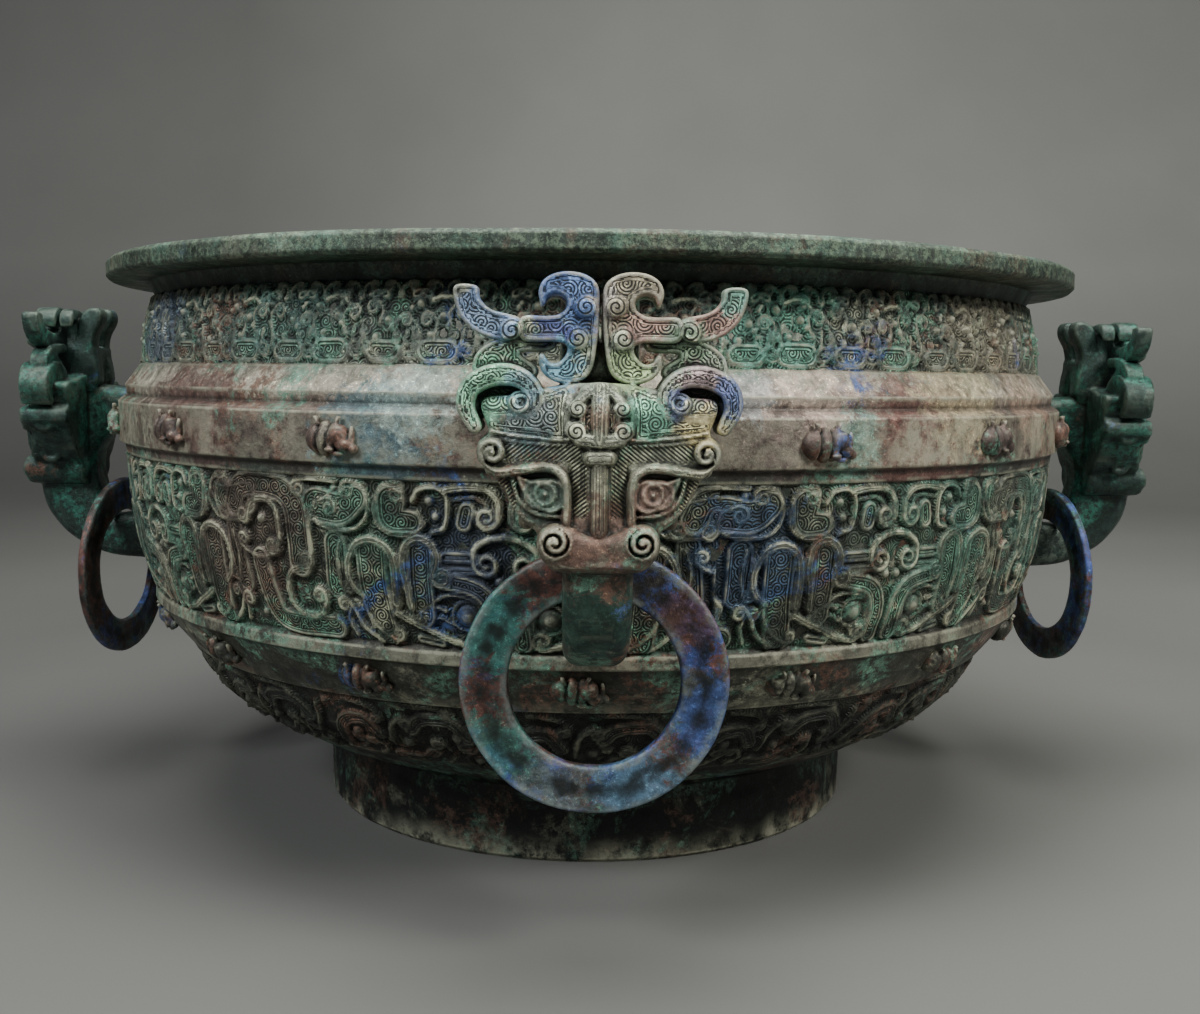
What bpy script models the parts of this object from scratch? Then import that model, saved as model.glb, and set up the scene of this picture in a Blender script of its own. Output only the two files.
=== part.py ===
"""Archaic bronze basin with relief bands, four beast-mask handles and four loose rings.

Metres, +Z up. The origin is on the surface that the foot stands on, under the middle of the mouth.
The front handle faces -Y.
"""
import math

import bmesh
import bpy
from mathutils import Matrix, Vector

MM = 0.001

# The vessel's walls, from the foot up
WALL = 4.0 * MM
FOOT_RADIUS = 125.0 * MM
FOOT_WALL = 5.5 * MM
FOOT_HEIGHT = 31.0 * MM
UNDERBOWL_HEIGHT = 20.5 * MM
LOWER_RELIEF_HEIGHT = 28.5 * MM
LOWER_PLAIN_HEIGHT = 18.5 * MM
MAIN_STRIP_HEIGHT = 6.0 * MM
MAIN_RELIEF_HEIGHT = 58.0 * MM
UPPER_STRIP_HEIGHT = 5.0 * MM
UPPER_PLAIN_HEIGHT = 17.0 * MM
GROOVE_HEIGHT = 7.0 * MM
FLARE_HEIGHT = 8.5 * MM
NECK_RELIEF_HEIGHT = 29.5 * MM
NECK_PLAIN_HEIGHT = 6.0 * MM
LIP_THICKNESS = 8.0 * MM

# Radii of the outside, without the relief on it
LOWER_RELIEF_FOOT_RADIUS = 164.5 * MM
LOWER_RELIEF_MIDDLE_RADIUS = 178.0 * MM
LOWER_RELIEF_TOP_RADIUS = 186.5 * MM
LOWER_LEDGE_RADIUS = 201.5 * MM
MAIN_FOOT_RADIUS = 201.3 * MM
MAIN_BULGE = 6.9 * MM
MAIN_TOP_RADIUS = 211.8 * MM
BELLY_RADIUS = 216.5 * MM
SHOULDER_RADIUS = 213.5 * MM
NECK_FOOT_RADIUS = 207.0 * MM
NECK_TOP_RADIUS = 200.0 * MM
RIM_RADIUS = 220.0 * MM
STEP = 2.2 * MM

# Relief
RELIEF = 2.6 * MM
RELIEF_SINK = 1.3 * MM
MASK_COUNT = 8
MASK_PITCH = 46.0
FIRST_MASK = 30.0
NECK_UNITS = 16
LOWER_UNITS = 16
BOSS_COUNT = 16
BOSS_TURN = -1.6
BOSS_LENGTH = 21.0 * MM
BOSS_WIDTH = 12.5 * MM
BOSS_RISE = 6.0 * MM

# Handles: the loop starts at the ring's plane, and the beast's face sits on the loop
HANDLE_COUNT = 4
FIT_GAP = 0.3 * MM
LOOP_RISE = 7.0 * MM
LOOP_THICKNESS = 22.0 * MM
LOOP_OPENING = 14.5 * MM
LOOP_REACH = 10.0 * MM
LOOP_DEPTH = 27.6 * MM
LOOP_WIDTH = 20.8 * MM
LOOP_CHAMFER = 5.0 * MM
ARM_RISE = 47.5 * MM
ARM_THICKNESS = 21.5 * MM
FACE_STEP = 2.0 * MM
FACE_DEPTH = 29.0 * MM
FACE_SWEEP = 0.25
HEAD_HEIGHT = 84.5 * MM
CREST_SETBACK = 6.3 * MM
HORN_SETBACK = 11.6 * MM
HORN_THICKNESS = 8.2 * MM
C_HORN_THICKNESS = 15.0 * MM
BACK_CURL_DEPTH = 8.5 * MM

# Rings
RING_RADIUS = 42.9 * MM
RING_HOLE_RADIUS = 27.0 * MM
RING_THICKNESS = 4.2 * MM
RING_CLEARANCE = 17.4 * MM
RING_TURN = 7.0

# Smoothness of the round forms
TURN_STEPS = 40
RING_STEPS = 20

BRONZE_DARK = ((0.060, 0.080, 0.070), 0.62, 0.55)
BRONZE_GREEN = ((0.045, 0.120, 0.095), 0.60, 0.50)
BRONZE_BLUE = ((0.070, 0.090, 0.120), 0.60, 0.50)


def levels():
    """Name each height on the vessel's outside, from the foot up."""
    steps = (
        ("foot_top", FOOT_HEIGHT),
        ("lower_foot", UNDERBOWL_HEIGHT),
        ("lower_top", LOWER_RELIEF_HEIGHT),
        ("ledge", LOWER_PLAIN_HEIGHT),
        ("main_foot", MAIN_STRIP_HEIGHT),
        ("main_top", MAIN_RELIEF_HEIGHT),
        ("belly_foot", UPPER_STRIP_HEIGHT),
        ("belly_top", UPPER_PLAIN_HEIGHT),
        ("shoulder", GROOVE_HEIGHT),
        ("neck_foot", FLARE_HEIGHT),
        ("neck_top", NECK_RELIEF_HEIGHT),
        ("lip_foot", NECK_PLAIN_HEIGHT),
        ("lip_top", LIP_THICKNESS),
    )
    named = {}
    height = 0.0
    for name, rise in steps:
        height += rise
        named[name] = height
    return named


LEVEL = levels()

# Where the handles and rings sit: distances from the axis, then heights
RING_STANDOFF = MAIN_TOP_RADIUS + RING_CLEARANCE
LOOP_INSIDE = RING_STANDOFF + LOOP_REACH
LOOP_OUTSIDE = LOOP_INSIDE + LOOP_DEPTH
FACE_BACK = LOOP_INSIDE + FACE_STEP
FACE_FRONT = FACE_BACK + FACE_DEPTH
CREST_FRONT = FACE_FRONT - CREST_SETBACK
LOOP_BOTTOM = LEVEL["ledge"] + LOOP_RISE
FACE_BOTTOM = LOOP_BOTTOM + LOOP_THICKNESS + LOOP_OPENING
ARM_TOP = FACE_BOTTOM + ARM_RISE


def outside():
    """Return the outside as (radius, height) pairs from the top of the lip to the ground."""
    middle = LEVEL["main_foot"] + MAIN_RELIEF_HEIGHT * 0.4
    lower_middle = LEVEL["lower_foot"] + LOWER_RELIEF_HEIGHT * 0.47
    underbowl = LEVEL["foot_top"] + UNDERBOWL_HEIGHT * 0.45
    bowl_reach = LOWER_RELIEF_FOOT_RADIUS - FOOT_RADIUS
    return [
        (RIM_RADIUS, LEVEL["lip_top"]),
        (RIM_RADIUS, LEVEL["lip_foot"]),
        (NECK_TOP_RADIUS, LEVEL["neck_top"]),
        (NECK_FOOT_RADIUS - STEP, LEVEL["neck_foot"] + NECK_RELIEF_HEIGHT * 0.35),
        (SHOULDER_RADIUS, LEVEL["shoulder"]),
        (SHOULDER_RADIUS - STEP * 0.3, LEVEL["belly_top"] + GROOVE_HEIGHT * 0.4),
        (BELLY_RADIUS, LEVEL["belly_top"]),
        (BELLY_RADIUS, LEVEL["belly_foot"]),
        (MAIN_TOP_RADIUS, LEVEL["main_top"] - STEP * 0.4),
        (MAIN_FOOT_RADIUS + MAIN_BULGE, middle),
        (MAIN_FOOT_RADIUS, LEVEL["main_foot"]),
        (LOWER_LEDGE_RADIUS, LEVEL["ledge"]),
        (LOWER_RELIEF_TOP_RADIUS + STEP * 1.2, LEVEL["lower_top"]),
        (LOWER_RELIEF_TOP_RADIUS, LEVEL["lower_top"] - STEP * 0.4),
        (LOWER_RELIEF_MIDDLE_RADIUS, lower_middle),
        (LOWER_RELIEF_FOOT_RADIUS, LEVEL["lower_foot"]),
        (FOOT_RADIUS + bowl_reach * 0.52, underbowl),
        (FOOT_RADIUS, LEVEL["foot_top"]),
        (FOOT_RADIUS, 0.0),
    ]


def inside():
    """Return the inside as (radius, height) pairs from the middle of the floor up to the lip."""
    floor = LEVEL["foot_top"] - STEP
    middle = LEVEL["main_foot"] + MAIN_RELIEF_HEIGHT * 0.4
    return [
        (0.0, floor),
        (FOOT_RADIUS, LEVEL["foot_top"] + WALL),
        (LOWER_RELIEF_FOOT_RADIUS - WALL * 0.6, LEVEL["lower_foot"] + WALL),
        (LOWER_RELIEF_TOP_RADIUS - WALL, LEVEL["lower_top"] + WALL),
        (MAIN_FOOT_RADIUS - WALL, LEVEL["main_foot"] + WALL),
        (MAIN_FOOT_RADIUS + MAIN_BULGE - WALL, middle),
        (SHOULDER_RADIUS - WALL - STEP, LEVEL["belly_top"]),
        (NECK_TOP_RADIUS - WALL, LEVEL["neck_top"]),
        (NECK_TOP_RADIUS - WALL, LEVEL["lip_top"]),
    ]


def underside():
    """Return the hollow under the foot as (radius, height) pairs from the ground to the middle."""
    hollow = FOOT_RADIUS - FOOT_WALL
    ceiling = LEVEL["foot_top"] - STEP - WALL
    return [(hollow, 0.0), (hollow, ceiling), (0.0, ceiling)]


def wall_radius(height):
    """Return the outside radius at a height."""
    points = outside()
    for (r0, z0), (r1, z1) in zip(points, points[1:]):
        if z1 <= height <= z0 and z0 > z1:
            return r0 + (r1 - r0) * (z0 - height) / (z0 - z1)
    return points[0][0]


def on_wall(turn, height, lift):
    """Return a point lifted off the outside; turn is in degrees from the front, to the right."""
    radius = wall_radius(height) + lift
    angle = math.radians(turn)
    return Vector((radius * math.sin(angle), -radius * math.cos(angle), height))


def mirrored(points):
    """Return points turned over left to right."""
    return [(-u, v) for u, v in points]


def new_object(name, mesh, collection):
    """Put a mesh in the scene as an object."""
    item = bpy.data.objects.new(name, mesh)
    collection.objects.link(item)
    return item


def mesh_from(maker, name):
    """Make a mesh with a function that fills a bmesh."""
    work = bmesh.new()
    maker(work)
    bmesh.ops.recalc_face_normals(work, faces=work.faces)
    mesh = bpy.data.meshes.new(name)
    work.to_mesh(mesh)
    work.free()
    return mesh


def turned(name, points, steps, collection, closed=False):
    """Turn a profile of (radius, height) pairs round the Z axis."""

    def fill(work):
        corners = [work.verts.new((radius, 0.0, height)) for radius, height in points]
        for first, second in zip(corners, corners[1:]):
            work.edges.new((first, second))
        if closed:
            work.edges.new((corners[-1], corners[0]))

    item = new_object(name, mesh_from(fill, name), collection)
    screw = item.modifiers.new("turn", "SCREW")
    screw.angle = 2.0 * math.pi
    screw.steps = steps
    screw.render_steps = steps
    screw.use_merge_vertices = True
    screw.merge_threshold = 0.00001
    screw.use_normal_calculate = False
    return item


def evaluated(item, name):
    """Return an object's shape with its modifiers as a mesh in world space."""
    graph = bpy.context.evaluated_depsgraph_get()
    graph.update()
    mesh = bpy.data.meshes.new_from_object(item.evaluated_get(graph))
    mesh.transform(item.matrix_world)
    mesh.name = name
    return mesh


def slab(name, outline, near, far, chamfer, collection):
    """Cut a plate from a flat outline of (right, up) pairs, between two distances along local +Z."""
    flat = bpy.data.curves.new(name, "CURVE")
    flat.dimensions = "2D"
    flat.fill_mode = "BOTH"
    flat.extrude = (far - near) / 2.0 - chamfer
    flat.bevel_depth = chamfer
    flat.bevel_resolution = 0
    flat.offset = -chamfer
    spline = flat.splines.new("POLY")
    spline.points.add(len(outline) - 1)
    for point, (right, up) in zip(spline.points, outline):
        point.co = (right, up, 0.0, 1.0)
    spline.use_cyclic_u = True
    item = new_object(name, flat, collection)
    bpy.context.view_layer.update()
    mesh = evaluated(item, name)
    bpy.data.objects.remove(item)
    mesh.transform(Matrix.Translation((0.0, 0.0, (near + far) / 2.0)))
    work = bmesh.new()
    work.from_mesh(mesh)
    bmesh.ops.remove_doubles(work, verts=work.verts, dist=0.00001)
    bmesh.ops.recalc_face_normals(work, faces=work.faces)
    work.to_mesh(mesh)
    work.free()
    return mesh


def front_plate(name, outline, near, far, chamfer, collection):
    """Cut a plate seen from the front: right is +Y, up is +Z, and it spans near to far along +X."""
    mesh = slab(name, outline, near, far, chamfer, collection)
    mesh.transform(Matrix(((0, 0, 1, 0), (1, 0, 0, 0), (0, 1, 0, 0), (0, 0, 0, 1))))
    return mesh


def side_plate(name, outline, half_width, chamfer, collection):
    """Cut a plate seen from the side: its outline is (distance from the axis, height)."""
    mesh = slab(name, outline, -half_width, half_width, chamfer, collection)
    mesh.transform(Matrix(((1, 0, 0, 0), (0, 0, -1, 0), (0, 1, 0, 0), (0, 0, 0, 1))))
    return mesh


def ball(name, centre, size, segments, rings):
    """Make an ellipsoid from its centre and its three half sizes."""

    def fill(work):
        bmesh.ops.create_uvsphere(work, u_segments=segments, v_segments=rings, radius=1.0)
        bmesh.ops.scale(work, vec=size, verts=work.verts)
        bmesh.ops.translate(work, vec=centre, verts=work.verts)

    return mesh_from(fill, name)


def merged(base, additions, cuts, name, collection, own_overlaps=False):
    """Join closed meshes to a base and cut others away, and return the result as one mesh.

    own_overlaps says that the bodies in one of the meshes may overlap each other.
    """
    item = new_object(name, base, collection)
    tools = []
    for operation, meshes in (("UNION", additions), ("DIFFERENCE", cuts)):
        for number, mesh in enumerate(meshes):
            tool = new_object(f"{name}_{operation}_{number}", mesh, collection)
            boolean = item.modifiers.new(tool.name, "BOOLEAN")
            boolean.operation = operation
            boolean.solver = "EXACT"
            boolean.use_self = own_overlaps
            boolean.object = tool
            tools.append(tool)
    bpy.context.view_layer.update()
    mesh = evaluated(item, name)
    for used in [item, *tools]:
        bpy.data.objects.remove(used)
    return mesh


def loft(work, rows):
    """Close a row of sections with like corners into one solid."""
    sections = [[work.verts.new(corner) for corner in row] for row in rows]
    corners = len(rows[0])
    for first, second in zip(sections, sections[1:]):
        for side in range(corners):
            after = (side + 1) % corners
            work.faces.new((first[side], second[side], second[after], first[after]))
    work.faces.new(tuple(sections[0]))
    work.faces.new(tuple(reversed(sections[-1])))


def stroke_rows(route, widths, place, top, sink):
    """Return the sections of a raised stroke along a route drawn flat.

    place turns a flat (right, up, lift) into a point. The widths are the first and last one at the
    ground that the stroke stands on.
    """
    rows = []
    last = len(route) - 1
    spread = (top + sink) / top
    for number, (u, v) in enumerate(route):
        before = route[max(number - 1, 0)]
        after = route[min(number + 1, last)]
        along = Vector((after[0] - before[0], after[1] - before[1])).normalized()
        half = (widths[0] + (widths[1] - widths[0]) * number / last) * spread / 2.0
        side = Vector((-along.y, along.x)) * half
        rows.append((
            place(u + side.x, v + side.y, -sink),
            place(u, v, top),
            place(u - side.x, v - side.y, -sink),
        ))
    return rows


# The relief's figures are drawn flat, as (right, up) in units of one millimetre at the real size:
# up from the band's lower edge, right from the middle of the figure.
MAIN_GRID = 58.0
MAIN_GRID_WIDTH = 167.0
HALF_MASK = (
    ([(0.8, 39.0), (9.5, 30.0)], (4.4, 5.6)),
    ([(3.2, 4.0), (6.5, 19.0), (20.0, 24.0)], (4.6, 8.4)),
    ([(23.0, 28.5), (28.5, 37.5), (35.0, 29.0), (33.0, 13.5)], (6.8, 6.4)),
    ([(43.0, 34.5), (53.0, 30.0), (47.5, 7.0)], (7.4, 7.4)),
    ([(12.5, 52.0), (5.5, 44.0)], (6.0, 6.6)),
    ([(38.0, 52.0), (41.5, 43.5), (27.0, 44.5)], (6.0, 7.4)),
)
SCROLL_FIGURE = (
    ([(-21.5, 43.0), (-14.0, 50.5), (6.5, 49.0), (6.5, 28.5)], (7.0, 8.0)),
    ([(1.0, 20.0), (4.0, 7.5), (16.0, 18.0)], (6.4, 6.4)),
)
MAIN_EYE = (13.6, 12.5)
MAIN_EYE_RADIUS = 4.6
NECK_GRID = 29.5
NECK_GRID_WIDTH = 80.0
NECK_FIGURE = (
    ([(-25.0, 13.0), (-20.5, 4.4), (-9.5, 4.4), (-5.0, 13.0)], (5.4, 5.4)),
)
NECK_STUDS = ((17.5, 13.5),)
NECK_STUD_RADIUS = 4.2
LOWER_GRID = 28.5
LOWER_GRID_WIDTH = 70.0
LOWER_FIGURE = (
    ([(-26.0, 8.0), (-16.0, 21.0), (-2.0, 10.0)], (5.6, 5.6)),
)
LOWER_STUDS = ((17.0, 14.0),)
LOWER_STUD_RADIUS = 4.2


def band_place(centre, foot, high, grid, grid_width, span):
    """Return a function that wraps a flat drawing on the wall: high and span are the true sizes."""

    def place(u, v, lift):
        return on_wall(centre + span * u / grid_width, foot + high * v / grid, lift)

    return place


def clear_of_handles(centre, route, span, grid_width, keep):
    """Tell whether a route keeps the given number of degrees away from every handle."""
    pitch = 360.0 / HANDLE_COUNT
    for u, _ in route:
        turn = (centre + span * u / grid_width + pitch / 2.0) % pitch - pitch / 2.0
        if abs(turn) < keep:
            return False
    return True


def mask_turns():
    """Return where each mask of the main band sits, in degrees; the last gap is the short one."""
    return [FIRST_MASK + MASK_PITCH * number for number in range(MASK_COUNT)]


def scroll_turns():
    """Return where each pair of scrolls between two masks sits, in degrees."""
    return [turn + MASK_PITCH / 2.0 for turn in mask_turns()[:-1]]


def add_strokes(work, figure, centre, band, span, keep):
    """Raise a figure's strokes on the wall, leaving out those that the handles stand on."""
    foot, high, grid, grid_width = band
    place = band_place(centre, foot, high, grid, grid_width, span)
    for route, widths in figure:
        if clear_of_handles(centre, route, span, grid_width, keep):
            loft(work, stroke_rows(route, widths, place, RELIEF, RELIEF_SINK))


def add_stud(work, centre, spot, band, span, radius, keep):
    """Raise a low pointed stud on the wall."""
    foot, high, grid, grid_width = band
    if not clear_of_handles(centre, [spot], span, grid_width, keep):
        return
    turn = centre + span * spot[0] / grid_width
    middle = on_wall(turn, foot + high * spot[1] / grid, 0.0)
    made = bmesh.ops.create_cone(
        work, cap_ends=True, segments=6, radius1=radius, radius2=radius * 0.45,
        depth=RELIEF + RELIEF_SINK)["verts"]
    bmesh.ops.translate(work, vec=(0.0, 0.0, (RELIEF - RELIEF_SINK) / 2.0), verts=made)
    outward = Vector((middle.x, middle.y, 0.0)).to_track_quat("Z", "Y")
    bmesh.ops.rotate(work, matrix=outward.to_matrix(), verts=made)
    bmesh.ops.translate(work, vec=middle, verts=made)


def relief_mesh():
    """Make the strokes and studs of the three relief bands as separate closed bodies."""
    main = (LEVEL["main_foot"], MAIN_RELIEF_HEIGHT, MAIN_GRID, MAIN_GRID_WIDTH)
    neck = (LEVEL["neck_foot"], NECK_RELIEF_HEIGHT, NECK_GRID, NECK_GRID_WIDTH)
    lower = (LEVEL["lower_foot"], LOWER_RELIEF_HEIGHT, LOWER_GRID, LOWER_GRID_WIDTH)
    keep = math.degrees((LOOP_WIDTH / 2.0 + RELIEF) / MAIN_FOOT_RADIUS)

    def fill(work):
        other_half = [(mirrored(route), widths) for route, widths in HALF_MASK]
        for turn in mask_turns():
            add_strokes(work, [*HALF_MASK, *other_half], turn, main, MASK_PITCH, keep)
            for side in (-1.0, 1.0):
                spot = (side * MAIN_EYE[0], MAIN_EYE[1])
                add_stud(work, turn, spot, main, MASK_PITCH, MAIN_EYE_RADIUS * MM, keep)
        for turn in scroll_turns():
            add_strokes(work, SCROLL_FIGURE, turn, main, MASK_PITCH, keep)
        for number in range(NECK_UNITS):
            span = 360.0 / NECK_UNITS
            add_strokes(work, NECK_FIGURE, span * number, neck, span, 0.0)
            for spot in NECK_STUDS:
                add_stud(work, span * number, spot, neck, span, NECK_STUD_RADIUS * MM, 0.0)
        for number in range(LOWER_UNITS):
            span = 360.0 / LOWER_UNITS
            add_strokes(work, LOWER_FIGURE, span * number, lower, span, 0.0)
            for spot in LOWER_STUDS:
                add_stud(work, span * number, spot, lower, span, LOWER_STUD_RADIUS * MM, 0.0)

    return mesh_from(fill, "relief")


def boss_mesh():
    """Make the small curled beasts of the two plain bands as separate closed bodies."""
    rows = (
        (LEVEL["belly_foot"] + UPPER_PLAIN_HEIGHT * 0.47, True),
        (LEVEL["lower_top"] + LOWER_PLAIN_HEIGHT * 0.56, False),
    )

    def lump(work, turn, height, along, up, out, shift):
        middle = on_wall(turn, height, 0.0)
        made = bmesh.ops.create_uvsphere(work, u_segments=6, v_segments=3, radius=1.0)["verts"]
        bmesh.ops.scale(work, vec=(along, out, up), verts=made)
        bmesh.ops.translate(work, vec=(shift, 0.0, 0.0), verts=made)
        bmesh.ops.rotate(work, matrix=Matrix.Rotation(math.radians(turn), 3, "Z"), verts=made)
        bmesh.ops.translate(work, vec=middle, verts=made)

    def fill(work):
        for height, stops_at_handles in rows:
            for number in range(BOSS_COUNT):
                at_handle = number % (BOSS_COUNT // HANDLE_COUNT) == 0
                if stops_at_handles and at_handle:
                    continue
                turn = BOSS_TURN + 360.0 / BOSS_COUNT * number
                lump(work, turn, height, BOSS_LENGTH * 0.5, BOSS_WIDTH * 0.5, BOSS_RISE, 0.0)

    return mesh_from(fill, "bosses")


def basin_mesh(tools):
    """Turn the vessel and join its relief and bosses to it."""
    profile = [*inside(), *outside(), *underside()]
    shell = turned("basin_shell", profile, TURN_STEPS, tools)
    bpy.context.view_layer.update()
    base = evaluated(shell, "basin_shell")
    bpy.data.objects.remove(shell)
    return merged(base, [relief_mesh(), boss_mesh()], [], "basin", tools, own_overlaps=True)


def loop_outline():
    """Return the side view of the arm, the head's core and the loop under it."""
    arm_foot = ARM_TOP - ARM_THICKNESS
    thick = LOOP_THICKNESS
    branch_top = LOOP_BOTTOM + thick
    upper_wall = wall_radius(ARM_TOP - ARM_THICKNESS / 2.0) - WALL
    lower_wall = wall_radius(LOOP_BOTTOM + LOOP_THICKNESS / 2.0) - WALL * 2.0
    bend = LOOP_DEPTH
    reach = LOOP_REACH
    return [
        (upper_wall, ARM_TOP),
        (FACE_BACK + bend * 0.4, ARM_TOP),
        (FACE_BACK + bend * 0.4, FACE_BOTTOM + bend * 0.6),
        (LOOP_OUTSIDE, FACE_BOTTOM + bend * 0.12),
        (LOOP_OUTSIDE - bend * 0.10, LOOP_BOTTOM + thick * 1.12),
        (LOOP_OUTSIDE - bend * 0.36, LOOP_BOTTOM + thick * 0.68),
        (LOOP_OUTSIDE - bend * 0.66, LOOP_BOTTOM + thick * 0.38),
        (LOOP_OUTSIDE - bend * 1.2, LOOP_BOTTOM + thick * 0.1),
        (lower_wall, LOOP_BOTTOM),
        (lower_wall, branch_top),
        (RING_STANDOFF + reach * 0.45, branch_top),
        (LOOP_INSIDE - reach * 0.25, branch_top + reach),
        (LOOP_INSIDE, arm_foot - reach * 1.4),
        (RING_STANDOFF + reach * 0.3, arm_foot),
        (upper_wall, arm_foot),
    ]


# The head is drawn flat from the front, as (right, up) in units of one millimetre at the real size:
# up from the bottom of the muzzle, right from the middle. Only the right half is drawn.
HEAD_GRID = 83.0
FACE_HALF = (
    (15.0, 52.0), (31.0, 48.0), (32.5, 44.5), (29.5, 38.0), (34.0, 35.0), (33.5, 29.5),
    (27.5, 25.0), (21.0, 15.5), (18.3, 9.0), (16.5, 3.0), (11.5, 0.0),
)
CREST_HALF = (
    (0.9, 79.0), (4.0, 82.0), (9.0, 83.0), (14.0, 81.0), (17.5, 75.5), (13.5, 75.0), (11.3, 73.0),
    (11.8, 71.0), (17.0, 69.7), (25.0, 68.8), (25.0, 65.5), (12.5, 62.5), (11.0, 59.0),
    (16.5, 58.0), (15.0, 49.5), (0.9, 49.5),
)
HORN_HALF = (
    (20.0, 70.5), (29.5, 72.5), (33.2, 76.0), (33.8, 79.5), (41.2, 79.5), (39.4, 72.0),
    (34.0, 66.5), (26.0, 63.5), (20.5, 65.0),
)
CURL_HALF = ((2.5, 48.0), (2.5, 79.5), (8.5, 80.5), (12.5, 76.0), (13.0, 69.0), (10.0, 62.0), (10.0, 48.0))
C_HORN_HALF = (
    (35.8, 39.0), (40.6, 46.5), (37.6, 54.0), (30.0, 57.8), (22.0, 57.0), (16.5, 51.5),
    (17.5, 46.0), (22.0, 44.5), (24.5, 48.5), (28.5, 51.5), (33.0, 48.5), (33.8, 42.5),
)
BROW_ROUTE = ((9.5, 13.0), (9.5, 28.0), (14.5, 31.5), (31.0, 31.0))
EYE_SPOT = (15.5, 23.0)
EYE_SIZE = 4.2
NOSTRIL_SPOT = (13.2, 8.5)
NOSTRIL_SIZE = 5.2


def head_size(amount):
    """Turn a length drawn on the head's grid into its true size."""
    return amount * HEAD_HEIGHT / HEAD_GRID


def head_half(points, side):
    """Return one side of a drawn outline at its true place; side is 1 for right and -1 for left."""
    placed = [(side * head_size(u), FACE_BOTTOM + head_size(v)) for u, v in points]
    return placed if side > 0.0 else placed[::-1]


def face_lift(right):
    """Return how far the face's surface stands from the axis at a true distance from its middle."""
    return FACE_FRONT - FACE_SWEEP * abs(right)


def face_mesh():
    """Make the beast's forehead, cheeks and muzzle, which fall back from the middle to the sides."""
    rows = []
    for right, up in reversed(FACE_HALF):
        half = head_size(right)
        height = FACE_BOTTOM + head_size(up)
        corners = ((FACE_BACK, -half), (face_lift(half), -half), (FACE_FRONT, 0.0),
                   (face_lift(half), half), (FACE_BACK, half))
        rows.append([Vector((away, side, height)) for away, side in corners])

    def fill(work):
        loft(work, rows)

    return mesh_from(fill, "face")


def head_stroke(name, route, widths, rise):
    """Raise a stroke on the front of the face."""

    def place(u, v, lift):
        right = head_size(u)
        return Vector((face_lift(right) + lift, right, FACE_BOTTOM + head_size(v)))

    def fill(work):
        loft(work, stroke_rows(route, widths, place, rise, RELIEF))

    return mesh_from(fill, name)


def half_head_parts(side, tools):
    """Make the pieces of one side of the head: crest, horns, back curl, brow, eye and nostril."""
    horn_front = FACE_FRONT - HORN_SETBACK
    c_horn_front = CREST_FRONT - RELIEF * 0.7
    crest_back = FACE_BACK + RELIEF
    plates = (
        ("crest", CREST_HALF, crest_back, CREST_FRONT),
        ("horn", HORN_HALF, horn_front - HORN_THICKNESS, horn_front),
        ("c_horn", C_HORN_HALF, c_horn_front - C_HORN_THICKNESS, c_horn_front),
        ("back_curl", CURL_HALF, FACE_BACK - BACK_CURL_DEPTH, crest_back + RELIEF),
    )
    parts = []
    for name, half, near, far in plates:
        parts.append(front_plate(name, head_half(half, side), near, far, 0.0, tools))
    lumps = (("eye", EYE_SPOT, EYE_SIZE), ("nostril", NOSTRIL_SPOT, NOSTRIL_SIZE))
    for name, (right, up), size in lumps:
        across = head_size(size)
        away = face_lift(head_size(right)) - across * 0.15
        middle = (away, side * head_size(right), FACE_BOTTOM + head_size(up))
        parts.append(ball(name, middle, (across * 0.8, across, across), 6, 4))
    route = [(side * right, up) for right, up in BROW_ROUTE]
    parts.append(head_stroke("brow", route, (4.5, 5.5), head_size(3.6)))
    return parts


def handle_mesh(tools):
    """Make one beast-mask handle that faces +X, and cut its ends to the vessel's wall."""
    core = side_plate("handle_core", loop_outline(), LOOP_WIDTH / 2.0, LOOP_CHAMFER, tools)
    parts = [face_mesh()]
    for side in (1.0, -1.0):
        parts.extend(half_head_parts(side, tools))
    parts.append(head_stroke("nose", [(0.0, 10.5), (0.0, 34.5)], (7.0, 6.0), head_size(3.2)))
    parts.append(head_stroke("small_mask", [(0.0, 37.0), (0.0, 53.0)], (17.0, 12.0), head_size(2.8)))
    wall = turned("wall_clearance", clearance_profile(), TURN_STEPS, tools)
    bpy.context.view_layer.update()
    cut = evaluated(wall, "wall_clearance")
    bpy.data.objects.remove(wall)
    return merged(core, parts, [cut], "handle", tools)


def clearance_profile():
    """Return the vessel's outside with the fitting gap added, closed on the axis."""
    grown = [(radius + FIT_GAP, height) for radius, height in outside()[2:-3]]
    return [(0.0, grown[0][1]), *grown, (0.0, grown[-1][1])]


def ring_centre_height():
    """Return the height of a ring's middle when it hangs on the loop's lower branch."""
    seat = LOOP_BOTTOM + LOOP_THICKNESS
    half_flat = LOOP_WIDTH / 2.0 - LOOP_CHAMFER
    least_radius = RING_HOLE_RADIUS * math.cos(math.pi / RING_STEPS)
    return seat + FIT_GAP - math.sqrt(least_radius ** 2 - half_flat ** 2)


def ring_mesh(tools):
    """Turn one flat ring whose axis is +X."""
    half = RING_THICKNESS / 2.0
    edge = RING_THICKNESS * 0.22
    section = [
        (RING_HOLE_RADIUS, half), (RING_RADIUS - edge, half), (RING_RADIUS, half - edge),
        (RING_RADIUS, -half), (RING_HOLE_RADIUS, -half),
    ]
    ring = turned("ring_turned", section, RING_STEPS, tools, closed=True)
    bpy.context.view_layer.update()
    mesh = evaluated(ring, "ring")
    bpy.data.objects.remove(ring)
    mesh.transform(Matrix.Rotation(math.pi / 2.0, 4, "Y"))
    return mesh


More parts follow.
